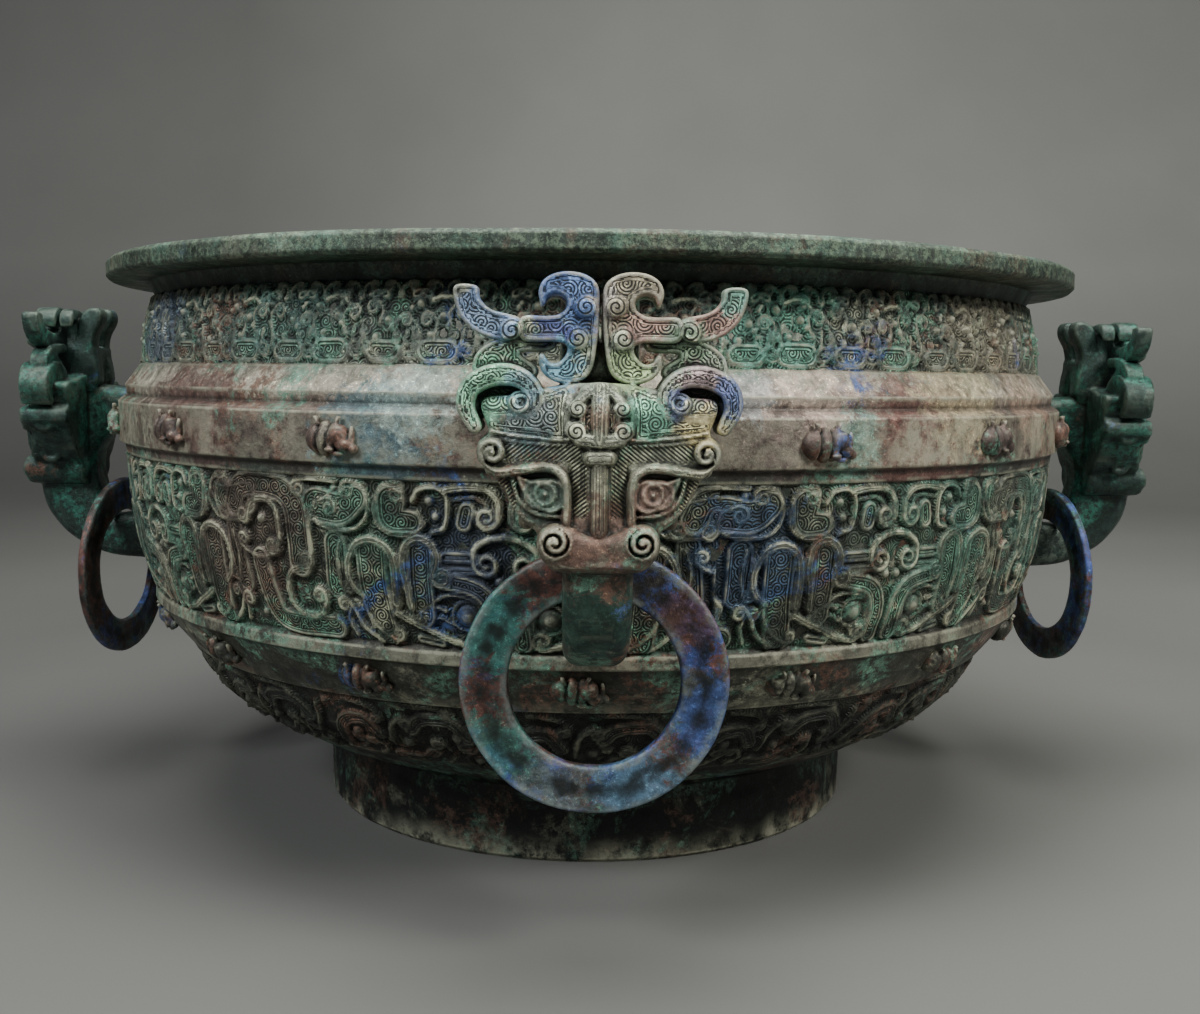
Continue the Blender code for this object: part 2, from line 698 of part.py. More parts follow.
def material(name, look):
    """Make a plain patinated bronze."""
    colour, rough, metal = look
    made = bpy.data.materials.new(name)
    made.use_nodes = True
    shader = made.node_tree.nodes["Principled BSDF"]
    shader.inputs["Base Color"].default_value = (*colour, 1.0)
    shader.inputs["Roughness"].default_value = rough
    shader.inputs["Metallic"].default_value = metal
    return made


def finish(item, look):
    """Give an object its own bronze, and shade its round faces smooth."""
    item.data.materials.clear()
    item.data.materials.append(look)
    item.data.shade_smooth()
    item.data.set_sharp_from_angle(angle=math.radians(30.0))


def main():
    """Build the nine pieces."""
    for item in list(bpy.data.objects):
        bpy.data.objects.remove(item)
    model = bpy.data.collections.new("beast_mask_basin")
    tools = bpy.data.collections.new("construction")
    for collection in (model, tools):
        bpy.context.scene.collection.children.link(collection)
    basin = new_object("basin", basin_mesh(tools), model)
    finish(basin, material("basin_bronze", BRONZE_DARK))
    handle_shape = handle_mesh(tools)
    ring_shape = ring_mesh(tools)
    for number, side in enumerate(("front", "right", "back", "left")):
        turn = 2.0 * math.pi / HANDLE_COUNT * number - math.pi / 2.0
        swing = math.radians(RING_TURN) * math.cos(turn)
        handle = new_object(f"handle_{side}", handle_shape.copy(), model)
        handle.rotation_euler = (0.0, 0.0, turn)
        finish(handle, material(f"handle_{side}_bronze", BRONZE_GREEN))
        ring = new_object(f"ring_{side}", ring_shape.copy(), model)
        ring.location = (RING_STANDOFF * math.cos(turn), RING_STANDOFF * math.sin(turn),
                         ring_centre_height())
        ring.rotation_euler = (0.0, 0.0, turn + swing)
        finish(ring, material(f"ring_{side}_bronze", BRONZE_BLUE))


main()
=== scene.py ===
"""Looks of the archaic bronze basin: cast relief, beast heads, loose rings and patina.

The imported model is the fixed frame. Each piece here is made in its place in metres, +Z up, with the
front handle towards -Y, and rides on the one body, root. Drawings of the relief are in millimetres.
"""
from __future__ import annotations

import logging
import math
from dataclasses import dataclass, field, replace
from enum import Enum
from functools import partial, reduce
from typing import Sequence

import bmesh
import bpy
import numpy as np
from mathutils import Matrix, Vector

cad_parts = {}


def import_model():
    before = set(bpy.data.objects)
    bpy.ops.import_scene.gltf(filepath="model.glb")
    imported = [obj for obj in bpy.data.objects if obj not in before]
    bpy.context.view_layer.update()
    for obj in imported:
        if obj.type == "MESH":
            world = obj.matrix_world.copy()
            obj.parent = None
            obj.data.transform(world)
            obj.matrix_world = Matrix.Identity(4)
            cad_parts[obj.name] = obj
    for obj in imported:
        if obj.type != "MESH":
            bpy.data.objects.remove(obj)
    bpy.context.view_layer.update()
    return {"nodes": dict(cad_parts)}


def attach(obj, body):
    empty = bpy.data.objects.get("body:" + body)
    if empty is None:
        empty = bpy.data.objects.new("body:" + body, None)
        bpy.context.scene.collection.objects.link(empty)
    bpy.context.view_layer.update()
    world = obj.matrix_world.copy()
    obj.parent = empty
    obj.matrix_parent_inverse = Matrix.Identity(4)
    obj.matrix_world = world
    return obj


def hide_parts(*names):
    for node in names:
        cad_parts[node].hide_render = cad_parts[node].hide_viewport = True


LOG = logging.getLogger("basin")
MM = 0.001
ROOT = "root"
FLAT_MAP = "flat"
FLAT_UNIT = 100.0
FRONT_DEPTH = 255.5
HATCH_PITCH = 1.25
MASK_COUNT = 8
FIRST_MASK = 30.0
MASK_TURN = 46.0
UNIT_COUNT = 16
UNIT_TURN = 360.0 / UNIT_COUNT
TURN = 2.0 * math.pi
Point = tuple[float, float]
Point3 = tuple[float, float, float]
Tint = tuple[float, float, float]
Grid = np.ndarray
Mesh = bpy.types.Mesh
Material = bpy.types.Material
Object = bpy.types.Object
Socket = bpy.types.NodeSocket
Value = float | Tint | Socket | Material


class Form(Enum):
    """How a stroke of the relief is cast."""

    PLATE = "a wide flat ribbon with a raised border and carved lines"
    RIDGE = "a rounded wire"
    TWIN = "a rounded wire with a groove along its top"
    STUD = "a round knob with a point"


@dataclass(frozen=True)
class Stroke:
    """One stroke of the relief, drawn flat in millimetres.

    A stud's route holds only its centre, and its width is its diameter. head and tail are the radii
    of the coils at the two ends: above zero they turn left of the way in, below zero right.
    """

    form: Form
    width: float
    tall: float
    route: tuple[Point, ...]
    tip: float = 0.0
    head: float = 0.0
    tail: float = 0.0

    def mirrored(self) -> Stroke:
        """Return the stroke turned over left to right."""
        route = tuple((-right, up) for right, up in self.route)
        return replace(self, route=route, head=-self.head, tail=-self.tail)

    def moved(self, right: float) -> Stroke:
        """Return the stroke moved sideways."""
        return replace(self, route=tuple((u + right, v) for u, v in self.route))


ribbon = partial(Stroke, Form.PLATE)
wire = partial(Stroke, Form.RIDGE)
grooved = partial(Stroke, Form.TWIN)
button = partial(Stroke, Form.STUD)


def spread(low: float, high: float, value: Grid) -> Grid:
    """Rise smoothly from 0 where value is low to 1 where it is high."""
    share = np.clip((value - low) / (high - low), 0.0, 1.0)
    return share * share * (3.0 - 2.0 * share)


def gate(value: Grid, start: float, full: float, fading: float, end: float) -> Grid:
    """Return 1 between full and fading, and fall smoothly to 0 at start and end."""
    return spread(start, full, value) * spread(end, fading, value)


def bell(value: Grid, middle: float, width: float) -> Grid:
    """Return 1 where value is middle, and near 0 a few widths away from it."""
    return np.exp(-((value - middle) / width) ** 2)


def smooth_route(route: Sequence[Point], pace: float = 0.6, closed: bool = False) -> Grid:
    """Round a drawn route off into close points.

    Args:
        route: the drawn points.
        pace: about how far apart the new points are.
        closed: whether the last point leads back to the first.

    Returns:
        The points, one a row.
    """
    knots = np.asarray(route, float)
    if closed:
        padded = np.vstack([knots[-1], knots, knots[0], knots[1]])
    else:
        padded = np.vstack([2.0 * knots[0] - knots[1], knots, 2.0 * knots[-1] - knots[-2]])
    pieces = []
    for before, first, second, after in zip(padded, padded[1:], padded[2:], padded[3:]):
        count = max(2, int(np.hypot(*(second - first)) / pace))
        t = np.linspace(0.0, 1.0, count, endpoint=False)[:, None]
        slope = second - before
        bend = 2.0 * before - 5.0 * first + 4.0 * second - after
        twist = 3.0 * first - before - 3.0 * second + after
        pieces.append(0.5 * (2.0 * first + slope * t + bend * t ** 2 + twist * t ** 3))
    if not closed:
        pieces.append(knots[-1:])
    return np.vstack(pieces)


def coil(start: Grid, heading: Grid, radius: float, turns: float = 1.35) -> Grid:
    """Wind a spiral in from a line's end.

    Args:
        start: the line's last point.
        heading: the way the line goes there, of length one.
        radius: the spiral's outer radius; below zero it turns to the right.
        turns: how often it goes round.

    Returns:
        The spiral's points, from the line's end to near its middle.
    """
    hand = math.copysign(1.0, radius)
    size = abs(radius)
    centre = start + hand * size * np.array([-heading[1], heading[0]])
    first = math.atan2(start[1] - centre[1], start[0] - centre[0])
    t = np.linspace(0.0, 1.0, max(10, int(26 * turns)))[1:]
    reach = size * (1.0 - 0.78 * t)
    angle = first + hand * TURN * turns * t
    return np.column_stack([centre[0] + reach * np.cos(angle), centre[1] + reach * np.sin(angle)])


def stroke_line(stroke: Stroke) -> Grid:
    """Return the middle line of a stroke, with the coils at its ends.

    Args:
        stroke: the stroke.

    Returns:
        Its points, one a row.
    """
    line = smooth_route(stroke.route)
    if stroke.tail:
        heading = line[-1] - line[-2]
        line = np.vstack([line, coil(line[-1], heading / np.hypot(*heading), stroke.tail)])
    if stroke.head:
        heading = line[0] - line[1]
        line = np.vstack([coil(line[0], heading / np.hypot(*heading), -stroke.head)[::-1], line])
    return line


def nearest(right: Grid, up: Grid, line: Grid) -> tuple[Grid, Grid]:
    """Measure each cell's distance from a line.

    Args:
        right: the cells' places to the right.
        up: the cells' places upwards.
        line: the line's points, one a row.

    Returns:
        The distance, and how far along the line the nearest point is, from 0 to 1.
    """
    best = np.full(right.shape, 1e9)
    along = np.zeros(right.shape)
    last = max(len(line) - 1, 1)
    for number, (start, end) in enumerate(zip(line[:-1], line[1:])):
        way = end - start
        length = max(float(way @ way), 1e-9)
        share = np.clip(((right - start[0]) * way[0] + (up - start[1]) * way[1]) / length, 0.0, 1.0)
        away = (right - start[0] - share * way[0]) ** 2 + (up - start[1] - share * way[1]) ** 2
        closer = away < best
        best = np.where(closer, away, best)
        along = np.where(closer, (number + share) / last, along)
    return np.sqrt(best), along


def inside_outline(right: Grid, up: Grid, outline: Grid) -> Grid:
    """Tell for each cell whether it lies inside a closed outline.

    Args:
        right: the cells' places to the right.
        up: the cells' places upwards.
        outline: its corners, one a row.

    Returns:
        True inside, one a cell.
    """
    hit = np.zeros(right.shape, bool)
    for start, end in zip(outline, np.roll(outline, -1, axis=0)):
        if start[1] == end[1]:
            continue
        crosses = (start[1] > up) != (end[1] > up)
        side = (end[0] - start[0]) * (up - start[1]) / (end[1] - start[1]) + start[0]
        hit ^= crosses & (right < side)
    return hit


def outline_distance(right: Grid, up: Grid, outline: Grid) -> Grid:
    """Return each cell's distance from a closed outline, below zero inside it."""
    away, _ = nearest(right, up, np.vstack([outline, outline[:1]]))
    return np.where(inside_outline(right, up, outline), -away, away)


def blurred(values: Grid, reach: int, wrapped: int | None = None, passes: int = 2) -> Grid:
    """Average values over a window along each of their axes.

    Args:
        values: a row, a drawing or a block.
        reach: half the window, in cells.
        wrapped: the axis whose ends meet, if there is one.
        passes: how many times this is done.

    Returns:
        The averages.
    """
    window = 2 * reach + 1
    for axis in list(range(values.ndim)) * passes:
        pad = [(0, 0)] * values.ndim
        pad[axis] = (reach + 1, reach)
        padded = np.pad(values, pad, mode="wrap" if axis == wrapped else "edge")
        total = np.moveaxis(np.cumsum(padded, axis=axis, dtype=float), axis, 0)
        values = np.moveaxis((total[window:] - total[:-window]) / window, 0, axis)
    return values


def drift(across: Grid, up: Grid, lattice: tuple[int, int], seed: int) -> Grid:
    """Return soft random values from -1 to 1 that repeat in both directions.

    Args:
        across: places to the right, in shares of the whole way round.
        up: places upwards, in shares of the whole height.
        lattice: how many random values there are across and up.
        seed: the choice of random values.

    Returns:
        One value a place.
    """
    values = np.random.default_rng(seed).uniform(-1.0, 1.0, (lattice[1], lattice[0]))
    x = np.mod(across, 1.0) * lattice[0]
    y = np.mod(up, 1.0) * lattice[1]
    column, row = np.floor(x).astype(int), np.floor(y).astype(int)
    fx, fy = x - column, y - row
    fx, fy = fx * fx * (3.0 - 2.0 * fx), fy * fy * (3.0 - 2.0 * fy)
    column, row = column % lattice[0], row % lattice[1]
    after, above = (column + 1) % lattice[0], (row + 1) % lattice[1]
    low = values[row, column] * (1.0 - fx) + values[row, after] * fx
    high = values[above, column] * (1.0 - fx) + values[above, after] * fx
    return low * (1.0 - fy) + high * fy


@dataclass
class Canvas:
    """A flat drawing of the relief's height in millimetres, with a mask of its carved plates."""

    left: float
    right: float
    foot: float
    top: float
    cell: float
    ground: float = 0.0
    height: Grid = field(init=False)
    plate: Grid = field(init=False)
    edge: Grid = field(init=False)

    def __post_init__(self) -> None:
        """Lay out the cells."""
        across = np.arange(self.left, self.right + self.cell, self.cell)
        upward = np.arange(self.foot, self.top + self.cell, self.cell)
        self.u, self.v = np.meshgrid(across, upward)
        self.height = np.zeros(self.u.shape)
        self.plate = np.full(self.u.shape, self.ground)
        self.edge = np.full(self.u.shape, 9.0)

    def window(self, line: Grid, reach: float) -> tuple[slice, slice]:
        """Return the rows and columns that a line with some width may touch.

        Args:
            line: its points, one a row.
            reach: how far it may touch.

        Returns:
            The rows and the columns.
        """
        low = (line.min(axis=0) - reach - (self.left, self.foot)) / self.cell
        high = (line.max(axis=0) + reach - (self.left, self.foot)) / self.cell + 2.0
        low, high = np.maximum(low, 0).astype(int), np.maximum(high, 0).astype(int)
        return slice(low[1], high[1]), slice(low[0], high[0])

    def draw(self, stroke: Stroke) -> None:
        """Press one stroke into the drawing; where two meet, the higher one shows.

        Args:
            stroke: the stroke.
        """
        if stroke.form is Form.STUD:
            self.stud(stroke)
            return
        line = stroke_line(stroke)
        spot = self.window(line, stroke.width)
        if self.u[spot].size == 0:
            return
        away, along = nearest(self.u[spot], self.v[spot], line)
        tip = stroke.tip or stroke.width
        half = (stroke.width + (tip - stroke.width) * along) / 2.0
        inner = half - away
        if stroke.form is Form.PLATE:
            rise = stroke.tall * spread(-0.2, 0.8, inner)
            rise = rise + 0.75 * bell(inner, 0.85, 0.5)
            mask = spread(1.35, 1.75, inner)
            wins = rise > self.height[spot] + 0.02
            self.plate[spot] = np.where(wins, mask, self.plate[spot])
            self.edge[spot] = np.where(wins, inner, self.edge[spot])
        else:
            dome = np.sqrt(np.clip(1.0 - (away / half) ** 4, 0.0, 1.0)) * 0.88
            if stroke.form is Form.TWIN:
                flat = np.sqrt(np.clip(1.0 - (away / half) ** 6, 0.0, 1.0))
                dome = flat * (1.0 - 0.34 * bell(away, 0.42 * half, half * 0.17))
            rise = stroke.tall * dome
            wins = rise > self.height[spot]
            self.plate[spot] = np.where(wins, 0.5 * spread(0.1, 0.35, inner), self.plate[spot])
            self.edge[spot] = np.where(wins, inner + 0.1, self.edge[spot])
        self.height[spot] = np.maximum(self.height[spot], rise)

    def stud(self, stroke: Stroke) -> None:
        """Press a round knob with a point into the drawing.

        Args:
            stroke: the knob.
        """
        centre = np.asarray(stroke.route[:1], float)
        radius = stroke.width / 2.0
        spot = self.window(centre, stroke.width)
        if self.u[spot].size == 0:
            return
        away = np.hypot(self.u[spot] - centre[0, 0], self.v[spot] - centre[0, 1])
        dome = np.sqrt(np.clip(1.0 - (away / radius) ** 2, 0.0, 1.0))
        rise = stroke.tall * (0.72 * dome + 0.42 * np.exp(-(away / (radius * 0.32)) ** 2))
        wins = (rise > self.height[spot]) & (away < radius)
        self.plate[spot] = np.where(wins, 0.0, self.plate[spot])
        self.height[spot] = np.maximum(self.height[spot], np.where(away < radius, rise, 0.0))

    def read(self, u: Grid, v: Grid) -> tuple[Grid, Grid, Grid]:
        """Return the height, plate mask and distance from the plate's edge at any places.

        Args:
            u: the places to the right.
            v: the places upwards.

        Returns:
            The height, the plates' mask and the distance inwards from a stroke's edge.
        """
        rows, columns = self.height.shape
        x = np.clip((u - self.left) / self.cell, 0.0, columns - 1.001)
        y = np.clip((v - self.foot) / self.cell, 0.0, rows - 1.001)
        column, row = x.astype(int), y.astype(int)
        fx, fy = x - column, y - row
        results = []
        for layer in (self.height, self.plate, self.edge):
            low = layer[row, column] * (1.0 - fx) + layer[row, column + 1] * fx
            high = layer[row + 1, column] * (1.0 - fx) + layer[row + 1, column + 1] * fx
            results.append(low * (1.0 - fy) + high * fy)
        return results[0], results[1], results[2]


def quads_mesh(name: str, points: Grid, quads: Grid) -> Mesh:
    """Make a mesh from points and four-cornered faces.

    Args:
        name: the mesh's name.
        points: one point a row, in metres.
        quads: four point numbers a row, so that each face looks outwards.

    Returns:
        The mesh, with smooth shading.
    """
    mesh = bpy.data.meshes.new(name)
    mesh.vertices.add(len(points))
    mesh.vertices.foreach_set("co", points.astype(np.float32).ravel())
    mesh.loops.add(quads.size)
    mesh.loops.foreach_set("vertex_index", quads.astype(np.int32).ravel())
    mesh.polygons.add(len(quads))
    mesh.polygons.foreach_set("loop_start", np.arange(0, quads.size, 4, dtype=np.int32))
    mesh.update(calc_edges=True)
    mesh.shade_smooth()
    return mesh


def sheet_quads(rows: int, columns: int, closed: bool) -> Grid:
    """Return the faces of a sheet of points, whose columns run to the right and rows upwards.

    Args:
        rows: how many rows of points there are.
        columns: how many columns there are.
        closed: whether the last column meets the first.

    Returns:
        Four point numbers a row.
    """
    reach = columns if closed else columns - 1
    row, column = np.meshgrid(np.arange(rows - 1), np.arange(reach), indexing="ij")
    after = (column + 1) % columns
    corners = [row * columns + column, row * columns + after,
               (row + 1) * columns + after, (row + 1) * columns + column]
    return np.stack(corners, axis=-1).reshape(-1, 4)


def mark(mesh: Mesh, name: str, values: Grid) -> None:
    """Keep one number a point on a mesh for its material to read."""
    layer = mesh.attributes.new(name, "FLOAT", "POINT")
    layer.data.foreach_set("value", values.astype(np.float32).ravel())


def lay_flat(mesh: Mesh, right: Grid, up: Grid) -> None:
    """Give a mesh a map of its carving: right and up in millimetres, over a fixed unit.

    Args:
        mesh: the mesh.
        right: each point's place to the right in millimetres.
        up: its place upwards.
    """
    corner = np.zeros(len(mesh.loops), np.int32)
    mesh.loops.foreach_get("vertex_index", corner)
    layer = mesh.uv_layers.new(name=FLAT_MAP)
    flat = np.column_stack([right.ravel(), up.ravel()]) / FLAT_UNIT
    layer.data.foreach_set("uv", flat[corner].astype(np.float32).ravel())


def linked(name: str, data: bpy.types.ID) -> Object:
    """Put data in the scene at the origin.

    Args:
        name: the new object's name.
        data: its mesh, lamp or camera.

    Returns:
        The object.
    """
    piece = bpy.data.objects.new(name, data)
    bpy.context.scene.collection.objects.link(piece)
    return piece


def mesh_points(mesh: Mesh) -> Grid:
    """Return a mesh's points in millimetres."""
    points = np.zeros(len(mesh.vertices) * 3)
    mesh.vertices.foreach_get("co", points)
    return points.reshape(-1, 3) / MM


def settled(holder: Object) -> Mesh:
    """Turn an object with its modifiers into a plain mesh, and take the object away.

    Args:
        holder: the object.

    Returns:
        The mesh, with smooth shading.
    """
    name = holder.name
    made = bpy.data.meshes.new_from_object(holder.evaluated_get(bpy.context.evaluated_depsgraph_get()))
    bpy.data.objects.remove(holder)
    made.name = name
    made.shade_smooth()
    return made


def placed(name: str, mesh: Mesh, finish: Material) -> Object:
    """Stand a finished mesh in the scene, riding on the root body.

    Args:
        name: the piece's name.
        mesh: its mesh, with its place in it.
        finish: its one material.

    Returns:
        The piece.
    """
    mesh.materials.clear()
    mesh.materials.append(finish)
    piece = linked(name, mesh)
    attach(piece, ROOT)
    LOG.info("%s: %d faces", name, len(mesh.polygons))
    return piece


@dataclass(frozen=True)
class WallLine:
    """The vessel's outside line: (radius, height) in metres from the ground up, without relief."""

    foot_radius: float = 125.0 * MM
    rim_radius: float = 220.0 * MM
    height: float = 243.5 * MM
    lip_under: float = 235.5 * MM
    floor_middle: float = 28.8 * MM
    floor_wall: float = 6.2 * MM
    foot_hollow: float = 119.5 * MM
    foot_top: float = 31.0 * MM
    lower_band: Point = (51.5 * MM, 80.0 * MM)
    main_band: Point = (104.5 * MM, 162.5 * MM)
    neck_band: Point = (200.0 * MM, 229.5 * MM)

    def outside(self) -> tuple[Point, ...]:
        """Return the outside's corners between the foot and the lip."""
        return tuple((away * MM, up * MM) for away, up in (
            (125, 31), (129, 34.5), (145.5, 40.2), (164.5, 51.5), (178, 64.9), (186.5, 79.1),
            (189.1, 80.2), (196.5, 89.5), (201.2, 97.6), (203, 98.6), (202.9, 102.6), (201.3, 104.5),
            (205, 115), (208.2, 127.7), (210.6, 145), (211.8, 161.6), (213.6, 162.6), (214, 166.2),
            (216.4, 167.6), (216.5, 184.2), (215.6, 185.2), (212.9, 187), (213.5, 191.2),
            (213, 192.1), (207.6, 199.6), (205.4, 201), (204.9, 210.3), (200.4, 229.2),
        ))

    def ceiling(self) -> float:
        """Return the height of the hollow under the foot."""
        return self.foot_top - self.floor_wall

    def radius(self, height: Grid | float) -> Grid:
        """Return the outside's radius at a height."""
        points = np.asarray(self.outside())
        return np.interp(height, points[:, 1], points[:, 0])

    def closed_profile(self) -> Grid:
        """Return the whole section from the middle of the floor inside, out and back underneath.

        Returns:
            Its corners, one a row.
        """
        lip = 1.3 * MM
        ceiling = self.ceiling()
        outer = list(self.outside())
        inner = [(away * MM, up * MM) for away, up in (
            (0, 28.8), (60, 29.6), (110, 32.4), (134, 39), (162.1, 55.5), (182.5, 84),
            (197.3, 108.5), (204.2, 127.7), (207.4, 160), (207.6, 184.5), (201, 205),
            (196.1, 229.5), (196, 241.5), (197.2, 243.3),
        )]
        rim = [
            (self.rim_radius - lip, self.height), (self.rim_radius, self.height - lip),
            (self.rim_radius, self.lip_under + lip), (self.rim_radius - lip, self.lip_under),
            (203.0 * MM, 234.6 * MM),
        ]
        foot = [
            (self.foot_radius, 1.6 * MM), (self.foot_radius - 1.2 * MM, 0.0),
            (self.foot_hollow + 0.9 * MM, 0.0), (self.foot_hollow, 1.2 * MM),
            (self.foot_hollow, ceiling - 3.0 * MM), (self.foot_hollow - 3.0 * MM, ceiling),
            (0.0, ceiling),
        ]
        return np.asarray([*inner, *rim, *outer[::-1], *foot])


LINE = WallLine()


def refined(profile: Grid, pace: float) -> Grid:
    """Add points along a section so that none are further apart than pace.

    Args:
        profile: the section's corners.
        pace: the longest gap.

    Returns:
        The new section.
    """
    pieces = []
    for start, end in zip(profile[:-1], profile[1:]):
        count = max(1, math.ceil(float(np.hypot(*(end - start))) / pace))
        pieces.append(start + (end - start) * np.linspace(0.0, 1.0, count, endpoint=False)[:, None])
    pieces.append(profile[-1:])
    return np.vstack(pieces)


def crisped(profile: Grid, reach: float) -> tuple[Grid, Grid]:
    """Stand points close to each corner of a section, so that it stays crisp under soft shading.

    Args:
        profile: the section's corners.
        reach: how far from a corner the new points are.

    Returns:
        The new section, and for each of its points how far it juts out: 1 on an edge, -1 in a corner.
    """
    points, juts = [profile[0]], [0.0]
    for before, spot, after in zip(profile[:-2], profile[1:-1], profile[2:]):
        way_in, way_out = spot - before, after - spot
        long_in, long_out = np.hypot(*way_in), np.hypot(*way_out)
        turn = (way_in[0] * way_out[1] - way_in[1] * way_out[0]) / (long_in * long_out)
        jut = float(np.clip(turn * 1.6, -1.0, 1.0))
        back, forth = way_in * min(reach / long_in, 0.3), way_out * min(reach / long_out, 0.3)
        points += [spot - back, spot, spot + forth]
        juts += [jut * 0.5, jut, jut * 0.5]
    return np.vstack([*points, profile[-1]]), np.asarray([*juts, 0.0])


@dataclass
class Vessel:
    """The turned body of the basin, with the unevenness of an old casting."""

    finish: Material
    steps: int = 300
    pace: float = 8.0 * MM
    rim_wave: float = 0.5 * MM
    pitting: float = 0.16 * MM

    def build(self) -> Object:
        """Turn the body round the axis and stand it for the solid basin.

        Returns:
            The body.
        """
        corners, juts = crisped(LINE.closed_profile(), 0.7 * MM)
        section = refined(corners, self.pace)
        length = np.concatenate([[0.0], np.cumsum(np.hypot(*np.diff(corners, axis=0).T))])
        along = np.concatenate([[0.0], np.cumsum(np.hypot(*np.diff(section, axis=0).T))])
        jut = np.interp(along, length, juts)[1:-1]
        section = section[1:-1]
        rows, columns = len(section), self.steps
        turn = np.linspace(0.0, 1.0, columns, endpoint=False)
        share, level = np.meshgrid(turn, np.arange(rows) / rows)
        radius = np.repeat(section[:, :1], columns, axis=1)
        height = np.repeat(section[:, 1:], columns, axis=1)
        dents = drift(share, level, (90, 60), 3) + 0.6 * drift(share, level, (190, 97), 4)
        radius = radius - np.abs(dents) * self.pitting
        lip = spread(0.2345, 0.2400, height)
        sag = drift(share, level * 0.0, (11, 1), 5) + 0.5 * drift(share, level * 0.0, (37, 1), 6)
        height = height - lip * (np.abs(sag) * self.rim_wave)
        angle = TURN * share
        points = np.stack([radius * np.sin(angle), -radius * np.cos(angle), height], axis=-1)
        ends = np.array([[0.0, 0.0, LINE.floor_middle], [0.0, 0.0, LINE.ceiling()]])
        mesh = quads_mesh("vessel", points.reshape(-1, 3), sheet_quads(rows, columns, True)[:, ::-1])
        self.close_poles(mesh, ends, rows, columns)
        cavity = np.repeat(-jut[:, None], columns, axis=1) * (1.0 + 0.4 * drift(share, level, (120, 7), 8))
        mark(mesh, "cavity", np.append(cavity.ravel(), [0.0] * len(ends)))
        within = 1.0 - spread(0.42, 0.46, np.linspace(0.0, 1.0, rows))
        mark(mesh, "inside", np.append(np.repeat(within, columns), [1.0, 0.0]))
        return placed("vessel_body", mesh, self.finish)

    def close_poles(self, mesh: Mesh, ends: Grid, rows: int, columns: int) -> None:
        """Close the floor inside and underneath with a fan of faces.

        Args:
            mesh: the turned sheet.
            ends: the two middle points.
            rows: how many rings of points the sheet has.
            columns: how many points a ring has.
        """
        work = bmesh.new()
        work.from_mesh(mesh)
        rings = list(work.verts)
        for end, first, turn_over in ((ends[0], 0, False), (ends[1], (rows - 1) * columns, True)):
            middle = work.verts.new(end)
            for column in range(columns):
                one = rings[first + column]
                two = rings[first + (column + 1) % columns]
                corners = (middle, two, one) if turn_over else (middle, one, two)
                work.faces.new(corners).smooth = True
        work.to_mesh(mesh)
        work.free()


